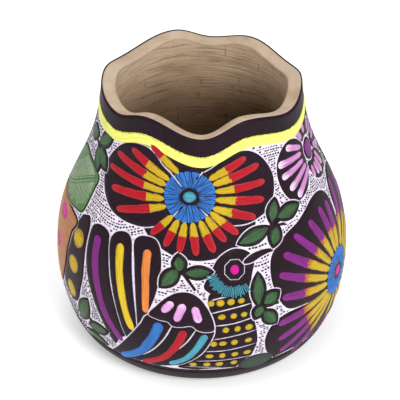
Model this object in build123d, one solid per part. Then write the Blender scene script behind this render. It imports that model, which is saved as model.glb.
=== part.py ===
from build123d import *
import os
from math import atan2, cos, degrees, hypot, pi, radians, sin, tan

os.makedirs("parts", exist_ok=True)

# Everything is in millimetres and degrees. The pot stands on z = 0, centred on the Z axis, and
# its front faces -Y. A place on the wall is an angle, 0 at the front and growing to the right as
# seen from the front, and a rise, the distance up the painted wall from the edge of the base.

# Fired body
BASE_RADIUS = 50.0
BASE_PULL = 8.1
WIDEST_RADIUS = 64.6
WIDEST_HEIGHT = 37.0
BELLY_PULL_DOWN = 16.6
BELLY_PULL_UP = 38.8
NECK_RADIUS = 42.6
NECK_HEIGHT = 121.0
NECK_PULL_OUT = 3.5
NECK_PULL_DOWN = 43.2
WALL_THICKNESS = 6.0
FLOOR_THICKNESS = 7.0
BLANK_HEIGHT = 130.0
CUTTER_INNER_RADIUS = 8.0
CUTTER_HEIGHT = 40.0
INNER_PULL_RAISE = 3.5

# Coats, each measured out from the fired body
SLIP_OUTSIDE = 0.2
TOPCOAT_OUTSIDE = 0.4
PAINT_OUTSIDE = 0.65
FOOT_HEIGHT = 0.4

# Crests and dips of the wavy rim in turn, as angle and height at the outer edge
RIM_TURNS = (
    (-57, 118.8), (-32, 123.4), (0, 116.9), (26, 123.3), (62, 118.5), (90, 121.5), (121, 118.2),
    (149, 122.3), (174, 119.3), (197, 123.5), (232, 119.1), (260, 121.8), (303, 118.8),
)
RIM_SLOPE = 10.0
RIM_STEP = 6

# Yellow band that follows the rim
BAND_DROP = 7.0
BAND_WIDTH = 5.6

# Flowers: disc, eye and finger strokes. A finger is the way it leaves the disc, the way to its
# tip, the distance to its tip, and the distance where its two colours meet.
LARGE_DISC_RADIUS = 11.2
EYE_RING = (4.0, 3.3)
LARGE_EYE = (2.8, 2.0)
FINGER_WIDTH = 3.4
BIG_FLOWER_SPOT = (-6.0, 101.0)
BIG_FLOWER_START = 12.4
BIG_FLOWER_FINGERS = (
    (148, 153, 31, 20), (160, 165, 37, 21), (175, 176, 40, 21), (192, 189, 37, 21),
    (208, 203, 33, 20), (44, 33, 31, 18), (29, 20, 35, 18), (12, 5, 34, 18), (354, 352, 32, 18),
    (335, 339, 29, 18), (231, 228, 24, 17), (246, 246, 24, 17), (262, 262, 24, 17),
    (279, 279, 25, 17), (296, 296, 26, 18), (311, 310, 25, 18), (325, 322, 27, 19),
    (122, 132, 25, 19),
)
SIDE_FLOWER_SPOT = (67.0, 45.0)
SIDE_FLOWER_START = 12.6
SIDE_FLOWER_FINGERS = (
    (183, 171, 40, 28), (165, 156, 43, 29), (147, 143, 43, 29), (131, 129, 41, 26),
    (114, 114, 37, 25), (97, 99, 36, 24), (84, 88, 35, 23), (203, 190, 42, 29),
    (216, 203, 43, 28), (227, 216, 44, 28), (240, 231, 41, 29), (64, 70, 41, 26),
    (48, 54, 43, 27), (33, 38, 43, 28), (18, 22, 42, 28), (3, 5, 40, 28), (344, 348, 42, 28),
    (330, 333, 43, 28), (316, 317, 42, 28), (300, 300, 34, 24), (280, 280, 30, 22),
    (259, 258, 31, 22),
)
PINK_FLOWER_SPOT = (72.0, 104.5)
PINK_FLOWER_START = 7.6
PINK_FLOWER_EYE = (3.7, 4.0)
PINK_FINGER_WIDTH = 3.0
PINK_FLOWER_FINGERS = (
    (148, 153, 19), (168, 173, 24), (192, 187, 24), (212, 203, 24), (232, 216, 24),
    (254, 258, 13), (277, 278, 14), (297, 292, 16), (319, 308, 17), (341, 339, 19),
    (5, 4, 19), (30, 27, 18), (57, 56, 14), (91, 94, 13), (120, 122, 14),
)

# Bird: strokes run from one spot to another and are FEATHER_WIDTH wide
FEATHER_WIDTH = 3.5
BIRD_FEATHERS = {
    "purple_tail_feather": ((-47.5, 74), (-33, 26)),
    "yellow_tail_feather": ((-35.5, 75.5), (-27.5, 36)),
    "orange_tail_feather": ((-22.6, 76.5), (-21.4, 47)),
    "blue_wing_feather": ((-16, 43.5), (-36, 14.5)),
    "red_wing_feather": ((-6.5, 41), (-25, 16.5)),
    "turquoise_wing_feather": ((1.5, 39), (-13, 19.5)),
}
SHOULDER_STROKES = (((-15, 49.5), (-11, 55)), ((-9.8, 45.5), (-6.8, 54.5)), ((-2.8, 53.5), (-1, 45.5)))
SHOULDER_STROKE_WIDTH = 3.3
BREAST_ROWS = (
    (55, (3.5, 7, 11, 15)), (48, (7.5, 12, 16)), (41, (9, 13.5, 18)), (33.6, (4.5, 8, 12.5, 18)),
    (26, (3, 8, 13, 18)), (20.2, (-3.5, 2, 7, 13)),
)
BREAST_SPOT = (1.7, 1.5)
BIRD_EYE_SPOT = (13.0, 69.5)
BIRD_EYE = (1.9, 2.2)
COLLAR_RADII = (8.0, 11.6)
COLLAR_ENDS = (190, 302)

# Leaves: angle, rise, length, width and turn
LEAVES = (
    (-63, 112.5, 11, 4.6, 22), (-66.5, 102.5, 8.5, 6.4, 48), (-59.5, 105.5, 8.5, 4, -18),
    (-79, 109.5, 9, 5, 15), (-53.5, 33, 15.5, 5.6, 62), (-46, 26.6, 11, 4.6, 14),
    (-49, 19, 11, 3.6, -8), (-12.5, 66, 9.5, 4.8, 50), (-9, 72.4, 5.5, 4, 100),
    (-1.5, 69, 9.5, 3.6, 3), (23, 82.5, 12, 4.4, 12), (33, 89.6, 7.5, 5.4, 95),
    (41.5, 88.5, 11, 4.6, 12), (33.6, 80.3, 6.5, 5, 75), (22, 58.5, 13, 4.4, 88),
    (27, 53, 6.5, 5.4, 30), (22, 48, 5, 4, 60), (26.5, 43.6, 8, 4.4, 128),
)
SIDE_LEAVES = (
    (118, 98, 11, 5, 20), (110, 88, 10, 5, -30), (126, 88, 12, 5, 70), (119, 52, 15, 5.4, 86),
    (124, 36, 12, 5, 60), (114.5, 36, 12, 5, 120), (119, 24, 9, 5, 90), (-114, 104, 10, 5, 150),
    (-119, 66, 8, 4.4, 60), (-117, 36, 14, 5, 84), (-120.5, 22, 10, 4.4, 40),
)
BACK_LEAVES_FROM = -45

# Blossom on the left, with its fan leaf and the spotted feathers each side of it
BLOSSOM_SPOT = (-82.5, 54.0)
BLOSSOM_SHOULDER = (17.5, 19.0)
BLOSSOM_WAIST = (16.5, -6.0)
BLOSSOM_FOOT = -23.0
BLOSSOM_PATCHES = ((-78, 68.6, 5.6, 2.8), (-90, 63, 3.6, 3), (-78, 54, 4, 3), (-87, 44, 3.4, 3.6))
FAN_LEAF_SPOT = (-80.0, 87.6)
FAN_LEAF_SIZE = (35.0, 22.4)
FAN_LEAF_CORNER = 9.0
FEATHER_SPOTS = ((23.5, 66.5), (22.5, 53.0), (20.5, 39.0))
FEATHER_SPOT = (4.0, 3.9)

# Ground patches at the foot: angle, rise, half width and half height
GROUND_PATCHES = ((23.0, 17.0, 5.6, 4.6), (157.0, 17.0, 5.6, 4.6))

CUT_DEPTH = 9.0


def wall_curves(out):
    """Base-to-widest and widest-to-rim curves of the outer wall, moved outwards by out."""
    lean = atan2(NECK_PULL_OUT, NECK_PULL_DOWN)
    neck_out = out * cos(lean)
    neck_up = out * sin(lean)
    widest = (WIDEST_RADIUS + out, 0, WIDEST_HEIGHT)
    neck = (NECK_RADIUS + neck_out, 0, NECK_HEIGHT + neck_up)
    neck_handle = (neck[0] + NECK_PULL_OUT, 0, neck[2] - NECK_PULL_DOWN)
    lower = Bezier(
        (BASE_RADIUS, 0, -out),
        (BASE_RADIUS + BASE_PULL, 0, -out),
        (widest[0], 0, WIDEST_HEIGHT - BELLY_PULL_DOWN),
        widest,
    )
    upper = Bezier(widest, (widest[0], 0, WIDEST_HEIGHT + BELLY_PULL_UP), neck_handle, neck)
    return [lower, upper]


def wall_to_blank_top(out):
    """The outer wall's curves with a straight run on top, up to the height that the rim is cut from."""
    curves = wall_curves(out)
    neck = curves[-1] @ 1
    run = BLANK_HEIGHT - neck.Z
    top = (neck.X - run * NECK_PULL_OUT / NECK_PULL_DOWN, 0, BLANK_HEIGHT)
    return curves + [Line(neck, top)]


def revolved(edges):
    """The solid that a closed outline in the XZ plane sweeps round the Z axis."""
    return revolve(make_face(edges), Axis.Z, 360)


def rim_height(angle):
    """Height of the rim's outer edge at an angle, a half cosine between each crest and dip."""
    turns = RIM_TURNS
    around = (angle - turns[0][0]) % 360 + turns[0][0]
    for (start, low), (end, high) in zip(turns, turns[1:]):
        if start <= around <= end:
            share = (around - start) / (end - start)
            return low + (high - low) * (1 - cos(pi * share)) / 2
    raise ValueError(angle)


def wave_edge(radius, drop):
    """Closed curve at a radius that rises and falls with the rim, drop below it at the outer edge."""
    lift = (radius - NECK_RADIUS) * tan(radians(RIM_SLOPE)) - drop
    points = []
    for angle in range(0, 360, RIM_STEP):
        heading = radians(angle - 90)
        points.append((radius * cos(heading), radius * sin(heading), rim_height(angle) + lift))
    return Spline(*points, periodic=True)


def wave_block(drop, height):
    """Ring-shaped block whose underside follows the rim wave, drop below the rim."""
    underside = Face.make_surface_from_curves(
        Wire([wave_edge(WIDEST_RADIUS, drop)]), Wire([wave_edge(CUTTER_INNER_RADIUS, drop)])
    )
    return extrude(underside.faces()[0], amount=height, dir=(0, 0, 1))


ABOVE_RIM = wave_block(0, CUTTER_HEIGHT)
ABOVE_BAND_FOOT = wave_block(BAND_DROP + BAND_WIDTH, CUTTER_HEIGHT)
BELOW_COATS = Pos(0, 0, FOOT_HEIGHT) * Cylinder(
    2 * WIDEST_RADIUS, CUTTER_HEIGHT, align=(Align.CENTER, Align.CENTER, Align.MAX)
)


def coat(inside, outside):
    """A coat over the whole wall, from just above the base to the wavy rim."""
    inner = wall_to_blank_top(inside)
    outer = wall_to_blank_top(outside)
    ends = [Line(inner[0] @ 0, outer[0] @ 0), Line(inner[-1] @ 1, outer[-1] @ 1)]
    return revolved(inner + outer + ends) - BELOW_COATS - ABOVE_RIM


def fired_body():
    """Hollow pot with a flat foot, a flat floor and a wavy rim."""
    outer = wall_to_blank_top(0)
    top = outer[-1] @ 1
    neck = (NECK_RADIUS - WALL_THICKNESS, 0, NECK_HEIGHT)
    widest = (WIDEST_RADIUS - WALL_THICKNESS, 0, WIDEST_HEIGHT)
    floor_edge = (BASE_RADIUS - WALL_THICKNESS, 0, FLOOR_THICKNESS)
    inner_top = (top.X - WALL_THICKNESS, 0, BLANK_HEIGHT)
    inner_upper = Bezier(
        widest,
        (widest[0], 0, WIDEST_HEIGHT + BELLY_PULL_UP),
        (neck[0] + NECK_PULL_OUT, 0, NECK_HEIGHT - NECK_PULL_DOWN),
        neck,
    )
    inner_lower = Bezier(
        floor_edge,
        (floor_edge[0] + BASE_PULL, 0, FLOOR_THICKNESS),
        (widest[0], 0, WIDEST_HEIGHT - BELLY_PULL_DOWN + INNER_PULL_RAISE),
        widest,
    )
    edges = outer + [
        Line((0, 0, 0), (BASE_RADIUS, 0, 0)),
        Line(top, inner_top),
        Line(inner_top, neck),
        inner_upper,
        inner_lower,
        Line(floor_edge, (0, 0, FLOOR_THICKNESS)),
        Line((0, 0, FLOOR_THICKNESS), (0, 0, 0)),
    ]
    return revolved(edges) - ABOVE_RIM


WALL = Wire(wall_to_blank_top(TOPCOAT_OUTSIDE))
PAINT = coat(TOPCOAT_OUTSIDE, PAINT_OUTSIDE)
MOTIF_PAINT = PAINT - ABOVE_BAND_FOOT


def wall_radius(rise):
    """Radius of the painted wall at a rise."""
    return WALL.position_at(rise, PositionMode.LENGTH).X


def moved_spot(spot, right, up):
    """The spot that lies right and up of another, measured over the wall."""
    rise = spot[1] + up
    return (spot[0] + degrees(right / wall_radius(rise)), rise)


def polar_spot(spot, way, distance):
    """The spot at a distance from another, in a direction that turns anticlockwise from the right."""
    return moved_spot(spot, distance * cos(radians(way)), distance * sin(radians(way)))


def plane_on_wall(spot, turn=0.0):
    """Plane that touches the painted wall at a spot: x to the right, y up the wall, then turned."""
    heading = radians(spot[0] - 90)
    point = WALL.position_at(spot[1], PositionMode.LENGTH)
    slope = WALL.tangent_at(WALL.param_at_point(point))
    across = Vector(-sin(heading), cos(heading), 0)
    upward = Vector(slope.X * cos(heading), slope.X * sin(heading), slope.Z)
    origin = (point.X * cos(heading), point.X * sin(heading), point.Z)
    return Plane(origin, x_dir=across, z_dir=across.cross(upward)) * Rot(0, 0, turn)


def on_wall(outline, spot, turn=0.0):
    """Paint solids where an outline, set on the wall at a spot, crosses the paint coat."""
    prism = extrude(plane_on_wall(spot, turn) * outline, amount=CUT_DEPTH, both=True)
    return (MOTIF_PAINT & prism).solids()


def stroke(start, end, width, joint=None):
    """One finger stroke between two spots. With a joint, a share of its length, it comes in two pieces."""
    middle = ((start[0] + end[0]) / 2, (start[1] + end[1]) / 2)
    run = radians(end[0] - start[0]) * wall_radius(middle[1])
    rise = end[1] - start[1]
    length = hypot(run, rise)
    turn = degrees(atan2(rise, run))
    whole = SlotOverall(length, width)
    if joint is None:
        return on_wall(whole, middle, turn)
    near_end = Pos(length * (joint - 1) / 2, 0) * Rectangle(length * joint, 2 * width)
    return on_wall(whole & near_end, middle, turn), on_wall(whole - near_end, middle, turn)


def leaf_outline(length, width):
    """Pointed leaf: two arcs that meet at both tips."""
    tip = (length / 2, 0)
    stalk = (-length / 2, 0)
    arcs = [ThreePointArc(stalk, (0, width / 2), tip), ThreePointArc(tip, (0, -width / 2), stalk)]
    return make_face(arcs)


def save(name, solids):
    """Writes one node's solids to its own file."""
    export_step(Compound(list(solids)), f"parts/{name}.step")


def save_disc_and_eye(name, spot, radius, ring, eye):
    """A flower's round disc with its open ring, and the eye inside the ring."""
    save(f"{name}_disc", on_wall(Circle(radius) - Ellipse(*ring), spot))
    save(f"{name}_eye", on_wall(Ellipse(*eye), spot))


def save_two_colour_fingers(name, spot, start, fingers, mirror=False):
    """A flower's finger strokes, inner pieces in one node and outer pieces in another."""
    inner = []
    outer = []
    for leave, tip, reach, joint in fingers:
        if mirror:
            leave, tip = 180 - leave, 180 - tip
        share = (joint - start) / (reach - start)
        near, far = stroke(polar_spot(spot, leave, start), polar_spot(spot, tip, reach), FINGER_WIDTH, share)
        inner += near
        outer += far
    save(f"{name}_inner_strokes", inner)
    save(f"{name}_outer_strokes", outer)


def front_or_back(spot, mirror):
    """The spot itself, or the matching one on the back of the pot when mirror is set."""
    return (180 - spot[0], spot[1]) if mirror else spot


def save_bird(name, mirror):
    """A bird's feathers, shoulder strokes, breast spots, collar and eye."""
    for feather, (top, foot) in BIRD_FEATHERS.items():
        ends = front_or_back(top, mirror), front_or_back(foot, mirror)
        save(f"{name}_{feather}", stroke(*ends, FEATHER_WIDTH))
    shoulder = []
    for top, foot in SHOULDER_STROKES:
        ends = front_or_back(top, mirror), front_or_back(foot, mirror)
        shoulder += stroke(*ends, SHOULDER_STROKE_WIDTH)
    save(f"{name}_shoulder_strokes", shoulder)
    spots = []
    for rise, angles in BREAST_ROWS:
        for angle in angles:
            spots += on_wall(Ellipse(*BREAST_SPOT), front_or_back((angle, rise), mirror))
    save(f"{name}_breast_spots", spots)
    save(f"{name}_collar", on_wall(collar_outline(mirror), front_or_back(BIRD_EYE_SPOT, mirror)))
    save(f"{name}_eye", on_wall(Ellipse(*BIRD_EYE), front_or_back(BIRD_EYE_SPOT, mirror)))


def collar_outline(mirror):
    """Part of a ring below the bird's eye."""
    inner, outer = COLLAR_RADII
    first, last = COLLAR_ENDS
    if mirror:
        first, last = 180 - last, 180 - first
    long_arc = CenterArc((0, 0), outer, first, last - first)
    short_arc = CenterArc((0, 0), inner, first, last - first)
    ends = [Line(long_arc @ 0, short_arc @ 0), Line(long_arc @ 1, short_arc @ 1)]
    return make_face([long_arc, short_arc] + ends)


def blossom_outline():
    """Cup with a flat top, full sides and a rounded foot."""
    shoulder_x, shoulder_y = BLOSSOM_SHOULDER
    waist_x, waist_y = BLOSSOM_WAIST
    right = (shoulder_x, shoulder_y)
    left = (-shoulder_x, shoulder_y)
    side = Spline(right, (waist_x, waist_y), (0, BLOSSOM_FOOT), (-waist_x, waist_y), left)
    return make_face([side, Line(right, left)])


def save_blossom():
    """The blossom with holes for its patches, the patches, the fan leaf and the feather spots."""
    patches = []
    blossom = on_wall(blossom_outline(), BLOSSOM_SPOT)
    for angle, rise, half_width, half_height in BLOSSOM_PATCHES:
        patches += on_wall(Ellipse(half_width, half_height), (angle, rise))
    patches = [part for patch in patches for part in (patch & blossom[0]).solids()]
    cup = Part() + blossom
    for patch in patches:
        cup -= patch
    save("orange_blossom", cup.solids())
    save("blossom_patches", patches)
    save("fan_leaf", on_wall(RectangleRounded(*FAN_LEAF_SIZE, FAN_LEAF_CORNER), FAN_LEAF_SPOT))
    spots = []
    for offset, rise in FEATHER_SPOTS:
        for side in (-1, 1):
            spots += on_wall(Ellipse(*FEATHER_SPOT), (BLOSSOM_SPOT[0] + side * offset, rise))
    save("spotted_feather_spots", spots)


def save_leaves():
    """Every small leaf: those of the front, the ones repeated on the back, and those of the sides."""
    leaves = []
    for angle, rise, length, width, turn in LEAVES + SIDE_LEAVES:
        leaves += on_wall(leaf_outline(length, width), (angle, rise), turn)
    for angle, rise, length, width, turn in LEAVES:
        if angle > BACK_LEAVES_FROM:
            leaves += on_wall(leaf_outline(length, width), (180 - angle, rise), 180 - turn)
    save("small_leaves", leaves)


def save_all():
    """Every node of the pot."""
    save("clay_body", fired_body().solids())
    save("white_undercoat", coat(0, SLIP_OUTSIDE).solids())
    save("dark_topcoat", coat(SLIP_OUTSIDE, TOPCOAT_OUTSIDE).solids())
    save("yellow_rim_band", (PAINT & wave_block(BAND_DROP + BAND_WIDTH, BAND_WIDTH)).solids())
    for name, mirror in (("front", False), ("back", True)):
        centre = front_or_back(BIG_FLOWER_SPOT, mirror)
        save_disc_and_eye(f"{name}_flower", centre, LARGE_DISC_RADIUS, EYE_RING, LARGE_EYE)
        save_two_colour_fingers(f"{name}_flower", centre, BIG_FLOWER_START, BIG_FLOWER_FINGERS, mirror)
        save_bird(f"{name}_bird", mirror)
    save_disc_and_eye("side_flower", SIDE_FLOWER_SPOT, LARGE_DISC_RADIUS, EYE_RING, LARGE_EYE)
    save_two_colour_fingers("side_flower", SIDE_FLOWER_SPOT, SIDE_FLOWER_START, SIDE_FLOWER_FINGERS)
    save("pink_flower_eye", on_wall(Ellipse(*PINK_FLOWER_EYE), PINK_FLOWER_SPOT))
    pink = []
    for leave, tip, reach in PINK_FLOWER_FINGERS:
        start = polar_spot(PINK_FLOWER_SPOT, leave, PINK_FLOWER_START)
        pink += stroke(start, polar_spot(PINK_FLOWER_SPOT, tip, reach), PINK_FINGER_WIDTH)
    save("pink_flower_strokes", pink)
    save_blossom()
    save_leaves()
    ground = []
    for angle, rise, half_width, half_height in GROUND_PATCHES:
        ground += on_wall(Ellipse(half_width, half_height), (angle, rise))
    save("ground_patches", ground)


save_all()
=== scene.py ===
from math import atan2, ceil, cos, degrees, pi, radians, sin, tan

import bpy
import numpy as np
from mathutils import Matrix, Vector
from mathutils.geometry import delaunay_2d_cdt


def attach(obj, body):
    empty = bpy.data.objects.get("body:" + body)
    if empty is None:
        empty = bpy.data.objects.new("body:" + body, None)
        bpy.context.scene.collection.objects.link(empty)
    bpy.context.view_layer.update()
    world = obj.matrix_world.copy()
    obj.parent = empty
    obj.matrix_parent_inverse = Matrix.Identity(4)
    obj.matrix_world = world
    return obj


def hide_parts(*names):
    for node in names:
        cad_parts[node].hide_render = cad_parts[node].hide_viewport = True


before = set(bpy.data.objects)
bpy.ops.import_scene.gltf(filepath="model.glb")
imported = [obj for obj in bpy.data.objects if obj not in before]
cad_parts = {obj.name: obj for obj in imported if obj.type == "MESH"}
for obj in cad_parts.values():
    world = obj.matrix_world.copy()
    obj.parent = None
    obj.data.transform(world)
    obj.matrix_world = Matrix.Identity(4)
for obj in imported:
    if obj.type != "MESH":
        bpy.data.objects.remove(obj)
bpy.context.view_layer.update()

# Lengths are millimetres until MM turns them into metres. A spot on the wall is an angle in
# degrees, 0 at the front (-Y) and growing to the right, and a rise, the distance up the wall from
# the edge of the base. A lift is a height above the dark coat's own surface.
MM = 0.001
random = np.random.default_rng(seed=11)

# The pot, as in the CAD model
BASE_RADIUS = 50.0
BASE_PULL = 8.1
WIDEST_RADIUS = 64.6
WIDEST_HEIGHT = 37.0
BELLY_PULL_DOWN = 16.6
BELLY_PULL_UP = 38.8
NECK_RADIUS = 42.6
NECK_HEIGHT = 121.0
NECK_PULL_OUT = 3.5
NECK_PULL_DOWN = 43.2
WALL_THICKNESS = 6.0
FLOOR_THICKNESS = 7.0
COATS = 0.4
RIM_TURNS = (
    (-57, 118.8), (-32, 123.4), (0, 116.9), (26, 123.3), (62, 118.5), (90, 121.5), (121, 118.2),
    (149, 122.3), (174, 119.3), (197, 123.5), (232, 119.1), (260, 121.8), (303, 118.8),
)
RIM_SLOPE = 10.0
BAND_DROP = 7.0
BAND_WIDTH = 5.6
FOOT_HEIGHT = 0.4

# The clay inside, from the floor to the widest place and from there to the neck
INNER_LOW = ((44, 7), (52.1, 7), (58.6, 23.9), (58.6, 37))
INNER_HIGH = ((58.6, 37), (58.6, 75.8), (40.1, 77.8), (36.6, 121))
INNER_BEYOND = 7.0

# Where rings of points start, and the angles of a coat's ring
SEAM = -121.0
RING_ANGLES = SEAM + np.arange(0, 360, 0.75)

# Lifts of the clay, the two coats and the strokes
CLAY_LIFT = -0.4
UNDERCOAT_FOOT = -0.39
UNDERCOAT_LIFT = -0.2
TOPCOAT_FOOT = -0.21
LIP_FOOT = -0.42
LIP_LIFT = -0.06
EDGE_LIFT = -0.09

# Bare strips of the dark coat at the foot, and white lines with their tapered ends
FOOT_STRIP = 15.8
FOOT_LINE = 14.2
FOOT_LINE_HALF = 0.2
LINE = 0.58
INNER_LINE = 0.7
LINE_END = 0.35
LINE_TAPER = 2.5
LINE_UNEVEN = 0.25

# Patches of coat: spacing of the points inside, how far they stray, and the swell of the surface
SLAB_SPACING = 1.7
SLAB_JITTER = 0.15
SLAB_INSET = 0.5
SLAB_SWELL = 0.02

# Brush strokes, dabs and discs
STROKE_STEP = 0.9
STROKE_COLUMNS = 9
STROKE_UNEVEN = 0.10
STROKE_RIPPLE = 0.012
STROKE_RIDGES = 0.22
SECOND_END = 1.15
BLOB_UNEVEN = 0.05
BLOB_RIDGES = 0.1
DISC_SHARES = (0, 0.03, 0.09, 0.2, 0.32, 0.44, 0.56, 0.68, 0.8, 0.9, 0.97, 1)
DISC_COLUMNS = 480
DISC_HAIRS = 64
DISC_HIGH = 0.16
HAIR_WIDTH = 0.15
HAIR_DEPTH = 0.24
HAIR_STARTS = (-0.2, 0.4)
HAIR_ENDS = (0.75, 1.4)
HOLE_UNEVEN = 0.16
DISC_UNEVEN = 0.05
CUT_REACH = 0.36
CUT_DEPTH = 0.5
CUT_FLOOR = -0.3


def bezier(points, count=400):
    """Points along a cubic curve."""
    share = np.linspace(0, 1, count)[:, None]
    a, b, c, d = (np.array(point, float) for point in points)
    rest = 1 - share
    return rest**3 * a + 3 * rest**2 * share * b + 3 * rest * share**2 * c + share**3 * d


def wall_profile():
    """Radius and height all along the painted wall, with a straight run past the rim."""
    lean = atan2(NECK_PULL_OUT, NECK_PULL_DOWN)
    widest = (WIDEST_RADIUS + COATS, WIDEST_HEIGHT)
    neck = (NECK_RADIUS + COATS * cos(lean), NECK_HEIGHT + COATS * sin(lean))
    below_widest = (widest[0], WIDEST_HEIGHT - BELLY_PULL_DOWN)
    lower = bezier(((BASE_RADIUS, -COATS), (BASE_RADIUS + BASE_PULL, -COATS), below_widest, widest))
    above_widest = (widest[0], WIDEST_HEIGHT + BELLY_PULL_UP)
    below_neck = (neck[0] + NECK_PULL_OUT, neck[1] - NECK_PULL_DOWN)
    upper = bezier((widest, above_widest, below_neck, neck))
    beyond = (neck[0] - BAND_DROP * tan(lean), neck[1] + BAND_DROP)
    return np.vstack([lower, upper[1:], [beyond]])


PROFILE = wall_profile()
STEPS = np.diff(PROFILE, axis=0)
RISES = np.concatenate([[0], np.cumsum(np.hypot(STEPS[:, 0], STEPS[:, 1]))])
SLOPES = np.gradient(PROFILE, RISES, axis=0)
FOOT_RISE = float(np.interp(FOOT_HEIGHT, PROFILE[:, 1], RISES))


def mm_per_degree(rise):
    """Length on the wall of one degree round the pot."""
    return np.interp(rise, RISES, PROFILE[:, 0]) * pi / 180


def on_wall(spots, lift):
    """Rows of points in metres where spots lie, lifted off the wall along its outward normal."""
    spots = np.asarray(spots, float)
    rise = spots[..., 1]
    out_radius = np.interp(rise, RISES, SLOPES[:, 1])
    out_height = -np.interp(rise, RISES, SLOPES[:, 0])
    radius = np.interp(rise, RISES, PROFILE[:, 0]) + lift * out_radius
    height = np.interp(rise, RISES, PROFILE[:, 1]) + lift * out_height
    heading = np.radians(spots[..., 0] - 90)
    points = np.stack([radius * np.cos(heading), radius * np.sin(heading), height], -1)
    return points.reshape(-1, 3) * MM


def rim_height(angles):
    """Height of the rim's outer edge: a half cosine between each crest and dip."""
    turns = np.array(RIM_TURNS, float)
    around = (np.asarray(angles, float) - turns[0, 0]) % 360 + turns[0, 0]
    index = np.clip(np.searchsorted(turns[:, 0], around, "right") - 1, 0, len(turns) - 2)
    start, end = turns[index, 0], turns[index + 1, 0]
    low, high = turns[index, 1], turns[index + 1, 1]
    return low + (high - low) * (1 - np.cos(pi * (around - start) / (end - start))) / 2


def rim_rise(angles):
    """Rise of the rim's outer edge."""
    return np.interp(rim_height(angles), PROFILE[:, 1], RISES)


def shifted(spot, right, up, turn=0.0):
    """The spot or spots right and up of another, in millimetres over the wall, turned round it."""
    c, s = cos(radians(turn)), sin(radians(turn))
    rise = spot[1] + right * s + up * c
    return np.stack([spot[0] + (right * c - up * s) / mm_per_degree(rise), rise], -1)


def polar(spot, way, distance):
    """The spot at a distance from another, in a direction anticlockwise from the right."""
    return shifted(spot, distance * cos(radians(way)), distance * sin(radians(way)))


def distance_between(spot, other):
    """Length over the wall from one spot to another."""
    return np.hypot((spot[0] - other[0]) * mm_per_degree(spot[1]), spot[1] - other[1])


def waver(count, size, loops=3, closed=True):
    """Gentle hand wobble: a few sine waves with random phases."""
    turn = np.linspace(0, 2 * pi, count, endpoint=not closed)
    wave = np.zeros(count)
    for step in range(1, loops + 1):
        wave += np.sin(turn * (step * 2 + 1) + random.uniform(0, 2 * pi)) / step
    return wave * size / loops


def circle(count):
    """Directions in radians evenly round a circle."""
    return np.linspace(0, 2 * pi, count, endpoint=False)


def smooth(points, closed=True, per_span=7):
    """A smooth curve through given spots (Catmull-Rom)."""
    points = np.array(points, float)
    if closed:
        ring = np.vstack([points[-1], points, points[:2]])
    else:
        ring = np.vstack([2 * points[0] - points[1], points, 2 * points[-1] - points[-2]])
    share = np.linspace(0, 1, per_span, endpoint=False)[:, None]
    spans = []
    for a, b, c, d in zip(ring, ring[1:], ring[2:], ring[3:]):
        tail = share**3 * (3 * b - 3 * c + d - a)
        spans.append((2 * b + share * (c - a) + share**2 * (2 * a - 5 * b + 4 * c - d) + tail) / 2)
    curve = np.vstack(spans)
    return curve if closed else np.vstack([curve, points[-1]])


def sideways(points, closed):
    """Unit vectors to the left of a curve of spots, true to the wall, as angle and rise."""
    scale = mm_per_degree(points[:, 1])
    if closed:
        ahead = np.roll(points, -1, 0) - np.roll(points, 1, 0)
    else:
        ahead = np.gradient(points, axis=0)
    across, up = ahead[:, 0] * scale, ahead[:, 1]
    length = np.hypot(across, up) + 1e-9
    return np.stack([-up / length / scale, across / length], -1)


def anticlockwise(outline):
    """The closed outline, reversed if it runs clockwise."""
    x, y = outline[:, 0], outline[:, 1]
    area = np.sum(x * np.roll(y, -1) - np.roll(x, -1) * y)
    return outline if area > 0 else outline[::-1]


def grown(outline, distance):
    """A closed outline moved outwards by a distance, or inwards if it is negative."""
    outline = anticlockwise(outline)
    return outline - sideways(outline, True) * distance


def ribbon(points, width):
    """Closed outline of a line of a given width that tapers at both ends."""
    from_start = np.arange(len(points))
    taper = np.minimum(1, LINE_END + np.minimum(from_start, from_start[::-1]) / LINE_TAPER)
    half = width / 2 * taper * (1 + waver(len(points), LINE_UNEVEN, closed=False))
    side = sideways(points, False) * half[:, None]
    return np.vstack([points + side, (points - side)[::-1]])


def inside(points, outline):
    """Which points lie inside a closed outline."""
    x, y = points[:, 0], points[:, 1]
    result = np.zeros(len(points), bool)
    low, high = outline.min(0), outline.max(0)
    near = np.flatnonzero((x > low[0]) & (x < high[0]) & (y > low[1]) & (y < high[1]))
    if not len(near):
        return result
    px, py = x[near, None], y[near, None]
    ax, ay = outline[:, 0], outline[:, 1]
    bx, by = np.roll(ax, -1), np.roll(ay, -1)
    crosses = (ay > py) != (by > py)
    reach = (bx - ax) * (py - ay) / np.where(by == ay, 1e-9, by - ay) + ax
    result[near] = (np.sum(crosses & (px < reach), 1) % 2).astype(bool)
    return result


def overlap(first, second):
    """Whether the boxes of two outlines overlap."""
    return (first.max(0) > second.min(0)).all() and (first.min(0) < second.max(0)).all()


# ---------------------------------------------------------------- pieces


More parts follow.
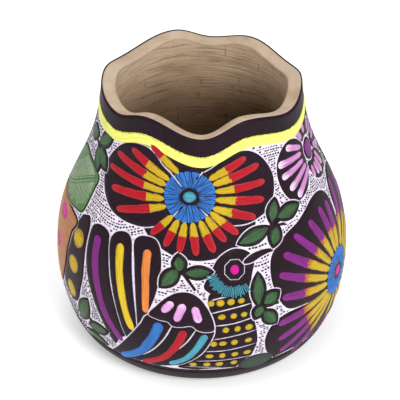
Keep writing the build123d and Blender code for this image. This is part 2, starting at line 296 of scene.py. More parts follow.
class Piece:
    """Collects closed shells of one piece and turns them into one object."""

    def __init__(self):
        self.points = []
        self.faces = []
        self.smooth = []
        self.brush = []
        self.edge = []
        self.count = 0

    def add(self, points, smooth_faces, flat_faces, brush=None, edge=None):
        """Adds points in metres, their faces, and brush and edge values for each point."""
        for faces, is_smooth in ((smooth_faces, True), (flat_faces, False)):
            self.faces += [[index + self.count for index in face] for face in faces]
            self.smooth += [is_smooth] * len(faces)
        self.points.append(points)
        self.brush.append(np.zeros((len(points), 3)) if brush is None else brush)
        self.edge.append(np.zeros((len(points), 3)) if edge is None else edge)
        self.count += len(points)

    def build(self, name, coat, *nodes):
        """Makes the object, which rides on the root body and stands for the CAD nodes."""
        material, slot = coat
        mesh = bpy.data.meshes.new(name)
        mesh.from_pydata(np.vstack(self.points).tolist(), [], self.faces)
        mesh.polygons.foreach_set("use_smooth", self.smooth)
        for key, values in (("brush", self.brush), ("edge", self.edge)):
            layer = mesh.attributes.new(key, "FLOAT_VECTOR", "POINT")
            layer.data.foreach_set("vector", np.vstack(values).ravel())
        mesh.materials.append(material)
        mesh.update()
        piece = bpy.data.objects.new(name, mesh)
        bpy.context.scene.collection.objects.link(piece)
        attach(piece, "root")
        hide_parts(*nodes)


def values_at(grid, first=0.0, second=0.0, third=0.0):
    """Three values for each point of a grid, in rows of three."""
    values = [np.broadcast_to(value, grid) for value in (first, second, third)]
    return np.stack(values, -1).reshape(-1, 3)


def joining_faces(first, second, columns, closed=True):
    """Quads between two rows of points that start at these indices, joined round when closed."""
    faces = []
    for column in range(columns if closed else columns - 1):
        right = (column + 1) % columns
        faces.append((first + column, first + right, second + right, second + column))
    return faces


def grid_faces(rows, columns, closed=True):
    """Quads of a grid of rows by columns, joined round when closed."""
    faces = []
    for row in range(rows - 1):
        faces += joining_faces(row * columns, (row + 1) * columns, columns, closed)
    return faces


def turned_over(faces, offset=0):
    """Faces that look the other way, with an offset added to their indices."""
    return [tuple(index + offset for index in face[::-1]) for face in faces]


def dome(share, power):
    """Height over a rounded section, 1 in the middle and next to nothing at its edge."""
    return np.sqrt(1 - share**2 * 0.999) ** power


def add_slab(piece, outline, cutters, low, high):
    """A patch of coat inside an outline and outside the cutters, closed down to the lift low."""
    scale = mm_per_degree(outline[:, 1].mean())
    corner, far = outline.min(0), outline.max(0)
    columns = np.arange(corner[0], far[0], SLAB_SPACING / scale)
    rows = np.arange(corner[1], far[1], SLAB_SPACING)
    grid = np.stack(np.meshgrid(columns, rows), -1).reshape(-1, 2)
    grid = grid + random.uniform(-SLAB_JITTER, SLAB_JITTER, grid.shape)
    grid = grid[inside(grid, grown(outline, -SLAB_INSET))]
    near = [cutter for cutter in cutters if overlap(cutter, outline)]
    loops = [anticlockwise(loop) for loop in [outline] + near]
    faces = []
    start = 0
    for loop in loops:
        faces.append(list(range(start, start + len(loop))))
        start += len(loop)
    points = [Vector((angle * scale, rise)) for angle, rise in np.vstack(loops + [grid])]
    places, _, found, _, _, owners_of = delaunay_2d_cdt(points, [], faces, 1, 1e-4, True)
    kept = [face for face, owners in zip(found, owners_of) if 0 in owners and max(owners) == 0]
    if not kept:
        return
    used = sorted({index for face in kept for index in face})
    new_index = {index: at for at, index in enumerate(used)}
    spots = np.array([(places[index].x / scale, places[index].y) for index in used])
    kept = [[new_index[index] for index in face] for face in kept]
    count = len(used)
    edges = {(face[i], face[(i + 1) % 3]) for face in kept for i in range(3)}
    walls = [(b, a, a + count, b + count) for a, b in edges if (b, a) not in edges]
    top_lift = high + SLAB_SWELL * np.sin(spots[:, 0] * 0.9) * np.sin(spots[:, 1] * 0.7 + 1)
    points = np.vstack([on_wall(spots, top_lift), on_wall(spots, low)])
    brush = values_at((2, count), spots[:, 0] * scale, spots[:, 1])
    piece.add(points, kept, turned_over(kept, count) + walls, brush)


def bristle(across, seed):
    """Ridges that brush hairs leave across a stroke, from -1 to 1."""
    return (np.sin(across * 9 + seed) + 0.6 * np.sin(across * 17 + seed * 2.3)) / 1.6


def round_end(distance, half):
    """Share of the full width at a distance from a rounded end."""
    return np.sqrt(np.clip(1 - (1 - np.minimum(distance / half, 1)) ** 2, 0.02, 1))


def add_stroke(piece, path, width, ends=(True, True), taper=(1.0, 1.0), high=0.17, shade=0.0, leaf=False):
    """One brush stroke of paint along a path of spots. ends says which ends are rounded."""
    path = smooth(path, closed=False, per_span=12) if len(path) > 2 else np.array(path, float)
    scale = mm_per_degree(path[:, 1].mean())
    gaps = np.hypot(np.diff(path[:, 0]) * scale, np.diff(path[:, 1]))
    distance = np.concatenate([[0], np.cumsum(gaps)])
    length = distance[-1]
    half = width / 2
    seed = random.uniform(0, 50)
    steps = max(10, ceil(length / STROKE_STEP))
    along = (1 - np.cos(np.linspace(0, pi, steps))) * 0.3 + np.linspace(0, 1, steps) * 0.4
    across = np.sin(np.linspace(pi / 2, -pi / 2, STROKE_COLUMNS))
    spine = np.stack([np.interp(along * length, distance, path[:, axis]) for axis in (0, 1)], -1)
    share = np.interp(along, (0, 1), taper)
    if leaf:
        share = np.clip(np.sin(pi * along), 0.03, 1) ** 0.75
    if ends[0]:
        share = share * round_end(along * length, half)
    if ends[1]:
        share = share * round_end((1 - along) * length, half * SECOND_END)
    share = (share * (1 + waver(steps, STROKE_UNEVEN, closed=False)))[:, None]
    along = along[:, None]
    spots = spine[:, None] + sideways(spine, False)[:, None] * (half * share * across)[..., None]
    crown = dome(across, 0.8) * (1 + STROKE_RIDGES * bristle(across * half, seed))
    lift = EDGE_LIFT + (high - EDGE_LIFT) * crown * (0.55 + 0.45 * np.minimum(share, 1))
    lift = lift + STROKE_RIPPLE * np.sin(along * length * 2.1 + seed) * crown
    grid = (steps, STROKE_COLUMNS)
    left = range(0, steps * STROKE_COLUMNS, STROKE_COLUMNS)
    right = range(STROKE_COLUMNS - 1, steps * STROKE_COLUMNS, STROKE_COLUMNS)
    flat = list(zip(left, left[1:], right[1:], right))
    flat.append(tuple(range(right[0], -1, -1)))
    flat.append(tuple(range(left[-1], right[-1] + 1)))
    brush = values_at(grid, along * length, half * across, seed)
    edge = values_at(grid, along, np.abs(across), shade)
    piece.add(on_wall(spots, lift), grid_faces(*grid, closed=False), flat, brush, edge)


def add_blob(piece, spot, half_width, half_height, high=0.18, rings=7, count=40):
    """A dab of paint: a slightly uneven ellipse with a low dome."""
    seed = random.uniform(0, 50)
    ways = circle(count)
    reach = 1 + waver(count, BLOB_UNEVEN, 4)
    shares = np.sin(np.linspace(0, pi / 2, rings + 1))[1:]
    x = np.outer(shares, reach * np.cos(ways)) * half_width
    y = np.outer(shares, reach * np.sin(ways)) * half_height
    shares = shares[:, None]
    ridges = 1 + BLOB_RIDGES * bristle(y, seed)
    lift = EDGE_LIFT + (high - EDGE_LIFT) * dome(shares, 0.7) * ridges
    points = np.vstack([on_wall([spot], high), on_wall(shifted(spot, x, y), lift)])
    faces = [(0, 1 + i, 1 + (i + 1) % count) for i in range(count)]
    faces += turned_over(grid_faces(rings, count), 1)
    underside = tuple(range(rings * count, (rings - 1) * count, -1))
    brush = np.vstack([(0, 0, seed), values_at(x.shape, x, y, seed)])
    edge = np.vstack([(0, 0, 0), values_at(x.shape, 0, shares)])
    piece.add(points, faces, [underside], brush, edge)


def add_ring(piece, low_rise, high_rise, low, high, rows):
    """A closed band all round the pot between two rises, which may change with the angle."""
    share = np.linspace(0, 1, rows)[:, None]
    rise = low_rise * (1 - share) + high_rise * share + 0 * RING_ANGLES
    spots = np.stack([np.broadcast_to(RING_ANGLES, rise.shape), rise], -1)
    columns = len(RING_ANGLES)
    count = rows * columns
    last = count - columns
    faces = grid_faces(rows, columns)
    faces += turned_over(faces, count)
    flat = turned_over(joining_faces(0, count, columns)) + joining_faces(last, last + count, columns)
    piece.add(np.vstack([on_wall(spots, high), on_wall(spots, low)]), faces, flat)


def add_disc(piece, spot, hole, radius, cuts):
    """A flower's disc: a ring of thick paint combed with fine lines that reach down to the dark coat."""
    ways = circle(DISC_COLUMNS)
    shares = np.array(DISC_SHARES)[:, None]
    inner = 1 / np.hypot(np.cos(ways) / hole[0], np.sin(ways) / hole[1])
    inner = inner * (1 + waver(DISC_COLUMNS, HOLE_UNEVEN, 3))
    outer = radius * (1 + waver(DISC_COLUMNS, DISC_UNEVEN, 9))
    reach = inner * (1 - shares) + outer * shares
    groove = np.zeros(reach.shape)
    for hair in range(DISC_HAIRS):
        way = 2 * pi * (hair + random.uniform(-0.3, 0.3)) / DISC_HAIRS
        first, last = random.uniform(*HAIR_STARTS), random.uniform(*HAIR_ENDS)
        wander = way + 0.05 * np.sin(shares * random.uniform(2, 5) + random.uniform(0, 6))
        aside = (ways - wander + pi) % (2 * pi) - pi
        near = np.exp(-((aside * reach / HAIR_WIDTH) ** 2))
        groove = np.maximum(groove, near * ((shares > first) & (shares < last)))
    crown = np.clip(1 - np.abs(shares * 2 - 1) ** 8, 0, 1)
    lift = EDGE_LIFT + (DISC_HIGH - EDGE_LIFT) * crown - HAIR_DEPTH * groove * crown
    spots = shifted(spot, reach * np.cos(ways), reach * np.sin(ways))
    scale = mm_per_degree(spot[1])
    for cut in cuts:
        for place in smooth(cut, False, 12):
            gap = np.hypot((spots[..., 0] - place[0]) * scale, spots[..., 1] - place[1])
            lift = lift - CUT_DEPTH * np.exp(-((gap / CUT_REACH) ** 4)) * (lift > CUT_FLOOR)
    rows = len(shares)
    faces = turned_over(grid_faces(rows, DISC_COLUMNS))
    flat = joining_faces(0, (rows - 1) * DISC_COLUMNS, DISC_COLUMNS)
    brush = values_at(reach.shape, reach, ways * radius)
    edge = values_at(reach.shape, shares, np.abs(shares * 2 - 1))
    piece.add(on_wall(spots, lift), faces, flat, brush, edge)


# ---------------------------------------------------------------- materials

BLACK = (0, 0, 0)
WHITE = (1, 1, 1)
MOSTLY = (0.85, 0.85, 0.85)


def new_material(name, roughness, specular):
    """A principled material with constant gloss, and its shader."""
    made = bpy.data.materials.new(name)
    made.use_nodes = True
    shader = made.node_tree.nodes["Principled BSDF"]
    shader.inputs["Roughness"].default_value = roughness
    shader.inputs["Specular IOR Level"].default_value = specular
    return made, shader


def node(made, kind, inputs=None, **settings):
    """Adds a node, sets its settings, and fills or links its inputs."""
    new = made.node_tree.nodes.new(kind)
    for key, value in settings.items():
        setattr(new, key, value)
    for key, value in (inputs or {}).items():
        if isinstance(value, bpy.types.NodeSocket):
            made.node_tree.links.new(value, new.inputs[key])
        else:
            new.inputs[key].default_value = value
    return new


def stretched(made, source, scale):
    """Coordinates multiplied by a scale along each axis."""
    return node(made, "ShaderNodeMapping", {"Vector": source, "Scale": scale}).outputs["Vector"]


def noise(made, vector, scale=1.0, detail=3.0):
    """A noise value from 0 to 1."""
    values = {"Vector": vector, "Scale": scale, "Detail": detail, "Roughness": 0.55}
    return node(made, "ShaderNodeTexNoise", values).outputs["Fac"]


def ramp(made, value, stops):
    """A colour ramp over a value; stops are (position, colour)."""
    new = node(made, "ShaderNodeValToRGB", {"Fac": value})
    elements = new.color_ramp.elements
    for index, (position, colour) in enumerate(stops):
        element = elements[index] if index < 2 else elements.new(position)
        element.position = position
        element.color = (*colour, 1)
    return new.outputs["Color"]


def mixed(made, share, first, second, blend="MIX"):
    """Two colours mixed by a share."""
    new = node(made, "ShaderNodeMix", data_type="RGBA", blend_type=blend)
    sockets = {"Factor": 0, "A": 6, "B": 7}
    for key, value in (("Factor", share), ("A", first), ("B", second)):
        socket = new.inputs[sockets[key]]
        if isinstance(value, bpy.types.NodeSocket):
            made.node_tree.links.new(value, socket)
        else:
            socket.default_value = value if key == "Factor" else (*value, 1)
    return new.outputs[2]


def toned(made, colour, value, *stops):
    """A colour multiplied by a ramp over a value."""
    return mixed(made, 1.0, colour, ramp(made, value, stops), "MULTIPLY")


def finish_material(made, shader, colour, height, strength, distance):
    """Links colour and bump to the shader."""
    made.node_tree.links.new(colour, shader.inputs["Base Color"])
    bump = node(made, "ShaderNodeBump", {"Height": height, "Strength": strength, "Distance": distance})
    made.node_tree.links.new(bump.outputs["Normal"], shader.inputs["Normal"])
    return made


def scaled(colour, factor):
    """A colour made lighter or darker."""
    return tuple(min(1, channel * factor) for channel in colour)


def object_coordinates(made):
    """Coordinates fixed to the piece, in metres."""
    return node(made, "ShaderNodeTexCoord").outputs["Object"]


def attribute(made, name):
    """A vector that the pieces carry at their points."""
    return node(made, "ShaderNodeAttribute", attribute_name=name).outputs["Vector"]


def parts_of(made, vector):
    """The three numbers of a vector."""
    return node(made, "ShaderNodeSeparateXYZ", {"Vector": vector}).outputs


def calculated(made, operation, first, second):
    """Arithmetic on two values."""
    return node(made, "ShaderNodeMath", {0: first, 1: second}, operation=operation).outputs[0]


def ragged(made, value, push, amount):
    """A value pushed up and down by noise, so that an edge which follows it is ragged."""
    push = calculated(made, "MULTIPLY", calculated(made, "SUBTRACT", push, 0.5), amount)
    return calculated(made, "ADD", value, push)


def paint(name, slot, colour, edge_colour, tip_colour, light=1.2, edge_from=0.62, tips_between=(0.72, 1.0)):
    """Brushed paint with its slot: streaks along the stroke, other tints at its sides and its tip."""
    made, shader = new_material(name, roughness=0.5, specular=0.16)
    brush = attribute(made, "brush")
    share, side, shade = parts_of(made, attribute(made, "edge"))[:3]
    streak = noise(made, stretched(made, brush, (0.10, 2.2, 1.0)))
    blot = noise(made, stretched(made, brush, (0.5, 0.8, 1.0)))
    streaks = ((0.28, scaled(colour, 0.62)), (0.5, colour), (0.74, scaled(colour, light)))
    edge_stops = ((edge_from, BLACK), (edge_from + 0.3, MOSTLY))
    tip_stops = ((tips_between[0], BLACK), (tips_between[1], MOSTLY))
    tone = ramp(made, streak, streaks)
    sides = ramp(made, ragged(made, side, blot, 0.9), edge_stops)
    tips = ramp(made, ragged(made, share, streak, 0.7), tip_stops)
    mix = mixed(made, sides, tone, edge_colour)
    mix = mixed(made, tips, mix, tip_colour)
    mix = mixed(made, shade, mix, scaled(edge_colour, 0.5))
    return finish_material(made, shader, mix, streak, strength=0.35, distance=0.00012), slot


def dark_slip_material():
    """Plum-black satin slip with faint brush marks and dust."""
    made, shader = new_material("dark_slip_satin", roughness=0.5, specular=0.12)
    place = object_coordinates(made)
    broad = noise(made, place, 90.0)
    fine = noise(made, stretched(made, place, (900, 900, 2600)))
    hues = ((0.30, (0.008, 0.005, 0.006)), (0.5, (0.016, 0.005, 0.011)), (0.72, (0.011, 0.0045, 0.016)))
    dust = ramp(made, fine, ((0.5, BLACK), (0.9, (0.4, 0.4, 0.4))))
    colour = mixed(made, dust, ramp(made, broad, hues), (0.045, 0.03, 0.038))
    return finish_material(made, shader, colour, fine, strength=0.25, distance=0.00008)


def white_slip_material():
    """Lilac-white slip, scratched fine and a little grubby."""
    made, shader = new_material("white_slip_matt", roughness=0.8, specular=0.2)
    place = object_coordinates(made)
    cross = noise(made, stretched(made, place, (1400, 1400, 700)))
    broad = noise(made, place, 150.0)
    tones = ((0.28, (0.50, 0.43, 0.53)), (0.44, (0.82, 0.75, 0.86)), (0.7, (0.93, 0.88, 0.95)))
    colour = toned(made, ramp(made, cross, tones), broad, (0.35, (0.86, 0.84, 0.88)), (0.65, WHITE))
    return finish_material(made, shader, colour, cross, strength=0.4, distance=0.00015)


# Inside of the pot, from the floor to the mouth: browner clay, darkened towards the floor as painted shade
INSIDE_COLOURS_AND_SHADE = (
    (0.0, (0.105, 0.058, 0.035)), (0.50, (0.19, 0.112, 0.066)), (0.72, (0.44, 0.30, 0.19)),
    (0.88, (0.74, 0.55, 0.38)), (1.0, (0.78, 0.60, 0.43)),
)
RIM_COLOURS = ((0.3, (0.44, 0.33, 0.235)), (0.55, (0.52, 0.395, 0.285)), (0.75, (0.57, 0.45, 0.34)))

# Paints
BLUE = (0.03, 0.155, 0.49)
TURQUOISE = (0.065, 0.32, 0.42)
GOLD = (0.72, 0.50, 0.02)
DULL_GOLD = (0.56, 0.37, 0.014)
RED = (0.42, 0.006, 0.016)
ORANGE = (0.72, 0.22, 0.05)
PURPLE = (0.20, 0.014, 0.20)
MAGENTA = (0.62, 0.006, 0.28)
PINK = (0.74, 0.36, 0.70)
GREEN = (0.042, 0.105, 0.04)
DARK_GREEN = (0.035, 0.058, 0.038)
FLUORESCENT = (0.90, 0.90, 0.19)
FLOWER_PINK = (0.56, 0.24, 0.52)
FAN_GREEN = (0.085, 0.19, 0.062)
WORN_ORANGE = (0.44, 0.18, 0.07)


def clay_material():
    """Dry low-fired clay: smooth pale rim, and a browner inside with combed level lines and painted shade
    that darkens it towards the floor.
    """
    made, shader = new_material("bare_clay_dry", roughness=0.85, specular=0.10)
    place = object_coordinates(made)
    depth, within = parts_of(made, attribute(made, "edge"))[:2]
    bend = calculated(made, "MULTIPLY", noise(made, place, 55.0, 2.0), 0.0035)
    wavy = node(made, "ShaderNodeCombineXYZ", {"Z": bend}).outputs[0]
    level = node(made, "ShaderNodeVectorMath", {0: place, 1: wavy}, operation="ADD").outputs[0]
    comb = noise(made, stretched(made, level, (70, 70, 1000)), detail=2.0)
    broad = noise(made, place, 70.0, 4.0)
    pores = noise(made, place, 1300.0)
    upright = noise(made, stretched(made, place, (330, 330, 8)), detail=2.0)
    # Painted shade: the inside's colour darkens from the mouth down to the floor, where the shade falls
    inner = ramp(made, depth, INSIDE_COLOURS_AND_SHADE)
    inner = toned(made, inner, comb, (0.34, (0.70, 0.65, 0.60)), (0.50, WHITE))
    inner = toned(made, inner, upright, (0.29, (0.72, 0.66, 0.60)), (0.36, WHITE))
    colour = mixed(made, within, ramp(made, broad, RIM_COLOURS), inner)
    colour = toned(made, colour, broad, (0.35, (0.88, 0.85, 0.82)), (0.6, WHITE))
    colour = toned(made, colour, pores, (0.26, (0.62, 0.55, 0.50)), (0.36, WHITE))
    combed = calculated(made, "MULTIPLY", comb, within)
    relief = calculated(made, "ADD", combed, calculated(made, "MULTIPLY", pores, 0.35))
    return finish_material(made, shader, colour, relief, strength=0.6, distance=0.0002)


# ---------------------------------------------------------------- motifs


def turned(spots, mirror):
    """Spots moved from the front of the pot to the same place on its back when mirror is set."""
    spots = np.array(spots, float)
    if mirror:
        spots[..., 0] = 180 - spots[..., 0]
    return spots


def ellipse(spot, half_width, half_height):
    """Closed outline of an ellipse."""
    ways = circle(48)
    return shifted(spot, half_width * np.cos(ways), half_height * np.sin(ways))


def leaf_outline(spot, length, width, turn):
    """Closed outline of a pointed leaf."""
    share = np.linspace(0, 1, 14)
    x = (share - 0.5) * length
    y = width / 2 * np.sin(pi * share) ** 0.75
    return shifted(spot, np.concatenate([x, x[-2:0:-1]]), np.concatenate([y, -y[-2:0:-1]]), turn)


FLOWER_SPOT = (-6.0, 101.0)
FLOWER_START = 10.8
FLOWER_WIDTHS = (3.9, 4.5)
FLOWER_GROUND = 12.3
# White lines scratched over the rim of the big flower's disc
DISC_CUTS = (
    ((-20, 112.8), (-14.6, 109.2), (-9.8, 104.8)), ((-19, 87.9), (-13.5, 92), (-9.8, 95.8)),
    ((6.3, 116), (1.5, 112.6), (-2.2, 109.2)), ((6.5, 90.8), (2, 93.6), (-1.8, 96.6)),
)
# Fingers of a flower: direction at the disc and at the tip, reach, and reach of the colours' joint
FLOWER_FINGERS = (
    (144, 150, 31, 22.5), (158, 163, 37, 21), (174, 175, 40, 21), (190, 187, 38, 20),
    (207, 200, 36, 19.5), (44, 33, 28, 19), (29, 20, 31.5, 18.5), (12, 5, 33, 19.5), (354, 352, 33, 20.3),
    (335, 339, 31, 20), (231, 228, 24, 17), (246, 246, 24, 17), (262, 262, 24, 17),
    (279, 279, 25, 17), (296, 296, 26, 18), (311, 310, 25, 18), (325, 322, 27, 19),
    (116, 130, 26.5, 20.5),
)
SIDE_SPOT = (67.0, 45.0)
SIDE_START = 11.0
SIDE_WIDTHS = (4.4, 5.0)
SIDE_GROUND = 12.5
SIDE_FINGERS = (
    (183, 171, 40, 28), (165, 156, 43, 29), (147, 143, 43, 29), (131, 129, 41, 26),
    (114, 114, 37, 25), (97, 99, 36, 24), (84, 88, 35, 23), (203, 190, 42, 29),
    (216, 203, 43, 28), (227, 216, 44, 28), (240, 231, 41, 29), (64, 70, 41, 26),
    (48, 54, 43, 27), (33, 38, 43, 28), (18, 22, 42, 28), (3, 5, 40, 28), (344, 348, 42, 28),
    (330, 333, 43, 28), (316, 317, 42, 28), (300, 300, 34, 24), (280, 280, 30, 22),
    (259, 258, 31, 22),
)
# Fingers: where the thin dry paint ends past the joint, its width and lift; the outer colour's
# lap over the inner one and its lift
DRY_ENDS = (-0.1, 0.06)
DRY_WIDTH = 1.22
DRY_LIFT = 0.035
FINGER_LAP = 0.03
OUTER_LIFT = 0.2
PINK_SPOT = (72.0, 104.5)
PINK_START = 7.6
PINK_WIDTHS = (3.3, 4.0)
PINK_EYE = (3.7, 4.0)
PINK_EYE_LINE = ((5.0, 5.4), (4.5, 4.9))
PINK_FINGERS = (
    (148, 153, 19), (168, 173, 24), (192, 187, 24), (212, 203, 24), (232, 216, 24),
    (254, 258, 13), (277, 278, 14), (297, 292, 16), (319, 308, 17), (341, 339, 19),
    (5, 4, 19), (30, 27, 18), (57, 56, 14), (91, 94, 13), (120, 122, 14),
)
DISC_RADIUS = 11.2
EYE_RING = (3.9, 3.4)
EYE = (2.8, 2.4)
# Width and path of each feather stroke, in the order of their paints
FEATHERS = {
    "purple_tail_feather": (4.6, ((-47.5, 74), (-46.6, 64), (-44, 52), (-39.8, 39), (-33.2, 26.5))),
    "yellow_tail_feather": (4.4, ((-35.3, 75.5), (-34, 65), (-31.8, 53), (-29.8, 44), (-27.4, 36))),
    "orange_tail_feather": (4.1, ((-22.6, 76.5), (-22.4, 67), (-21.8, 58), (-21.6, 47.5))),
    "blue_wing_feather": (5.0, ((-15.8, 43.5), (-19.5, 33.5), (-25.5, 23.5), (-36, 14.6))),
    "red_wing_feather": (4.0, ((-6.5, 41), (-10, 31.5), (-15.8, 22.7), (-25, 16.3))),
    "turquoise_wing_feather": (3.6, ((1.6, 39), (-2.2, 30.5), (-6.6, 23.8), (-13.2, 19))),
}
SHOULDER_STROKES = (((-15, 49.5), (-11, 55)), ((-9.8, 45.5), (-6.8, 54.5)), ((-2.8, 53.5), (-1, 45.5)))
SHOULDER_WIDTH = 4.1
BREAST_SIZES = ((1.5, 1.35), (1.9, 1.75))
BREAST_ROWS = (
    (55, (3.5, 7, 11, 15)), (48, (7.5, 12, 16)), (41, (9, 13.5, 18)), (33.6, (4.5, 8, 12.5, 18)),
    (26, (3, 8, 13, 18)), (20.2, (-3.5, 2, 7, 13)),
)
BIRD_EYE_SPOT = (13.0, 69.5)
BIRD_EYE = (1.9, 2.2)
EYE_LINE_RADII = (4.8, 4.38)
COLLAR_RADII = (7.6, 12.4)
COLLAR_ENDS = (190, 302)
COLLAR_HAIRS = 25
COLLAR_HAIR_WIDTH = 0.52
# Small leaves: angle, rise, length, width and turn
LEAVES = (
    (-62.4, 112.6, 10.5, 4.6, 40), (-65.8, 102.2, 9.5, 4.4, -63), (-61.6, 104.3, 9.5, 4.4, -38),
    (-79, 109.5, 9, 5, 15), (-53.5, 33, 15.5, 5.6, 62), (-46, 26.6, 11, 4.6, 14),
    (-49, 19, 11, 3.6, -8), (-12.5, 66, 9.5, 4.8, 50), (-9, 72.4, 5.5, 4, 100),
    (-1.5, 69, 9.5, 3.6, 3), (23, 82.2, 13, 4.4, 15), (34.4, 90, 8.2, 4, 66),
    (42.4, 87.4, 11, 4.6, 6), (32.5, 79.8, 6.8, 4.4, 64), (22, 58.5, 13, 4.4, 88),
    (27, 53, 6.5, 5.4, 30), (22, 48, 5, 4, 60), (26.5, 43.6, 8, 4.4, 128),
)
SIDE_LEAVES = (
    (118, 98, 11, 5, 20), (110, 88, 10, 5, -30), (126, 88, 12, 5, 70), (119, 52, 15, 5.4, 86),
    (124, 36, 12, 5, 60), (114.5, 36, 12, 5, 120), (119, 24, 9, 5, 90), (-114, 104, 10, 5, 150),
    (-119, 66, 8, 4.4, 60), (-117, 36, 14, 5, 84), (-120.5, 22, 10, 4.4, 40),
)
BACK_LEAVES_FROM = -45
BACK_LEAVES_TO = 90
LEAF_REACH = 0.56
LEAF_FULLNESS = 1.35
# Where the leaves of a cluster meet, and the spots that its dark stems run to
STEMS = (
    ((33.3, 84.6), ((29.5, 83.6), (33.8, 87.4), (37.6, 85.8), (32.8, 82), (39, 83))),
    ((-7.4, 69.2), ((-10.5, 67.5), (-8.6, 71.5), (-3.5, 69.2), (-2.2, 61.0))),
    ((23.8, 50.6), ((22.4, 55), (25.5, 52), (22.6, 49), (25, 47), (30.5, 49.5))),
    ((-68.0, 107.2), ((-65.4, 110), (-66.6, 104), (-64.6, 105.6), (-74, 108.6))),
    ((-49.5, 28.8), ((-52, 31), (-46.5, 27), (-49, 21))),
    ((116.5, 92.5), ((117, 96), (112, 89), (123, 89.5))),
    ((119, 42.5), ((119, 47), (122.5, 38), (115.5, 38), (119, 29))),
)
LEAF_TIP_MARGIN = 4.94
LEAF_SIDE_MARGIN = 3.8
STEM_WIDTH = 1.7
LONE_STEM = 0.4
CLUSTER_REACH = 14.0
BLOSSOM_SPOT = (-82.5, 54.0)
BLOSSOM_SIDE = ((17.5, 19), (18.2, 12), (17.6, 3), (16.5, -6), (13, -14), (7, -20.5), (0, -23))
BLOSSOM_MARGIN = 1.3
BLOSSOM_LIFT = 0.14
BLOSSOM_PATCHES = ((-78, 68.6, 5.6, 2.8), (-90, 63, 3.6, 3), (-78, 54, 4, 3), (-87, 44, 3.4, 3.6))
FAN_OUTLINE = (
    (-60, 95.4), (-60.2, 91), (-60.8, 86.5), (-61.3, 82), (-62.8, 77.8), (-68.5, 76.5), (-76, 75.2),
    (-84.5, 74.6), (-93, 76), (-97.4, 82), (-97.4, 90), (-93, 95.6), (-87.5, 98), (-82, 99),
    (-74, 98.9), (-66, 97.6),
)
FAN_MIDRIB = ((-95, 76), (-83.5, 81.4), (-74, 87.5), (-66, 92.3), (-61, 94.8))
FAN_MARGIN = 1.0
FAN_LIFTS = (-0.05, 0.04)
FAN_VEINS = 26
MIDRIB_HALF = 0.8
VEIN_MARGIN = 0.8
VEIN_WIDTH = 0.5
VEIN_SHARES = (0.16, 0.98)
VEIN_WAYS = (-50, 176)
VEIN_LEAN = 22
VEIN_REACHES = (1.6, 16, 0.6)
FEATHER_SPOT_SIZE = (4.3, 4.4)
FEATHER_SPOTS = ((23.5, 66.5), (22.5, 53.0), (20.5, 39.0))
GROUND_PATCHES = ((23.0, 17.4, 8.2, 5.0), (157.0, 17.4, 8.2, 5.0))

# Dark grounds of the front: outline, then the lines scratched inside it. Later ones lie over
# earlier ones.
LOBE_TOP = (
    (-12, 106), (-16, 113), (-24, 118.5), (-31, 119.6), (-38, 119.4), (-44, 118), (-30, 124),
    (0, 122), (22, 121), (14, 116), (2, 108),
)
LOBE_BOTTOM = (
    (-16.5, 93), (-22, 90.5), (-26.3, 87), (-25.5, 84), (-20, 79.5), (-12, 75.6), (-4, 74),
    (3, 74.2), (10, 76), (16, 79), (22, 84), (24.5, 88.5), (14, 92), (4, 95), (-6, 99),
)
LOBE_LEFT = (
    (-14.4, 109.2), (-20.8, 113.3), (-25.2, 117.2), (-31, 119.6), (-39, 119.4), (-47, 116.8),
    (-53, 112), (-56.8, 106.5),
    (-57.5, 102), (-55.5, 96.5), (-51, 91), (-45, 87), (-38, 85.2), (-31, 84.8), (-25, 85.4),
    (-19.5, 87.6), (-13.5, 92.2), (-10, 97), (-9, 101), (-10, 105),
)
LOBE_RIGHT = (
    (-2, 110), (5, 113.5), (12, 117), (20, 119.5), (27, 118.6), (33, 115), (37.3, 109.5),
    (39, 104), (37.6, 98), (34, 93), (28, 89.6), (20, 87.8), (12, 88.6), (5, 91.6), (-1, 96.6),
    (-3, 103), (-3, 107),
)
TAIL_PURPLE = (
    (-52.8, 75), (-50, 78.6), (-45.5, 79), (-42, 77.3), (-40.8, 73), (-38.5, 62), (-36, 51),
    (-33, 40), (-30.5, 32), (-34, 27.5), (-37.5, 22.5), (-42, 33), (-46.5, 44), (-49.5, 52),
    (-52, 62),
)
TAIL_YELLOW = (
    (-41, 74.5), (-39.5, 79), (-36, 81), (-32.5, 80.8), (-30.2, 78), (-29, 72), (-27.5, 62),
    (-26, 50), (-25.3, 38.5), (-28, 34), (-30.8, 31), (-33.5, 41), (-36.5, 54), (-39, 65),
)
TAIL_ORANGE = (
    (-29.5, 78), (-27.5, 81.3), (-23.5, 82.2), (-19.5, 81.4), (-17, 77.5), (-16, 71),
    (-16.4, 64), (-17.8, 56), (-20, 49), (-22.5, 43), (-25, 38.5), (-25.6, 48), (-26.6, 60),
    (-28, 70),
)
BREAST = (
    (2.5, 59), (8, 62), (14, 63), (18.9, 62), (19.2, 55), (19.8, 47), (21.3, 39), (22, 32),
    (21, 26), (19, 20), (16.5, 16.3), (8, 15.3), (-2, 15.8), (-10, 17.5), (-3, 25), (3, 34),
    (4.8, 42), (2.7, 51.8),
)
BREAST_LINES = (
    ((3.4, 56.4), (7.5, 57.4), (11, 57.8)),
    ((3.2, 50), (10, 51.5), (19.5, 53)), ((4.5, 43.5), (12, 44), (20.3, 45.8)),
    ((4.2, 36), (11, 37), (21.5, 38.6)), ((1, 29), (9, 29), (22.5, 30.8)),
    ((-3, 22.6), (8, 22.6), (21.5, 23)), ((-7.5, 18.3), (0, 18), (9, 17)),
)
HEAD = (
    (0.5, 63), (3, 68.5), (5.5, 74), (9, 77.2), (13, 78.7), (17, 78), (20.5, 75.4), (21.5, 71.5),
    (20, 66), (18.6, 60), (14, 57), (8, 57.5), (3, 59.5),
)
BEAK = (
    (17, 73), (20.5, 75.2), (25, 76), (29, 75.6), (32, 74), (33.2, 71.4), (29.5, 73.4),
    (25, 72.8), (20.5, 71.2), (17, 71.2),
)
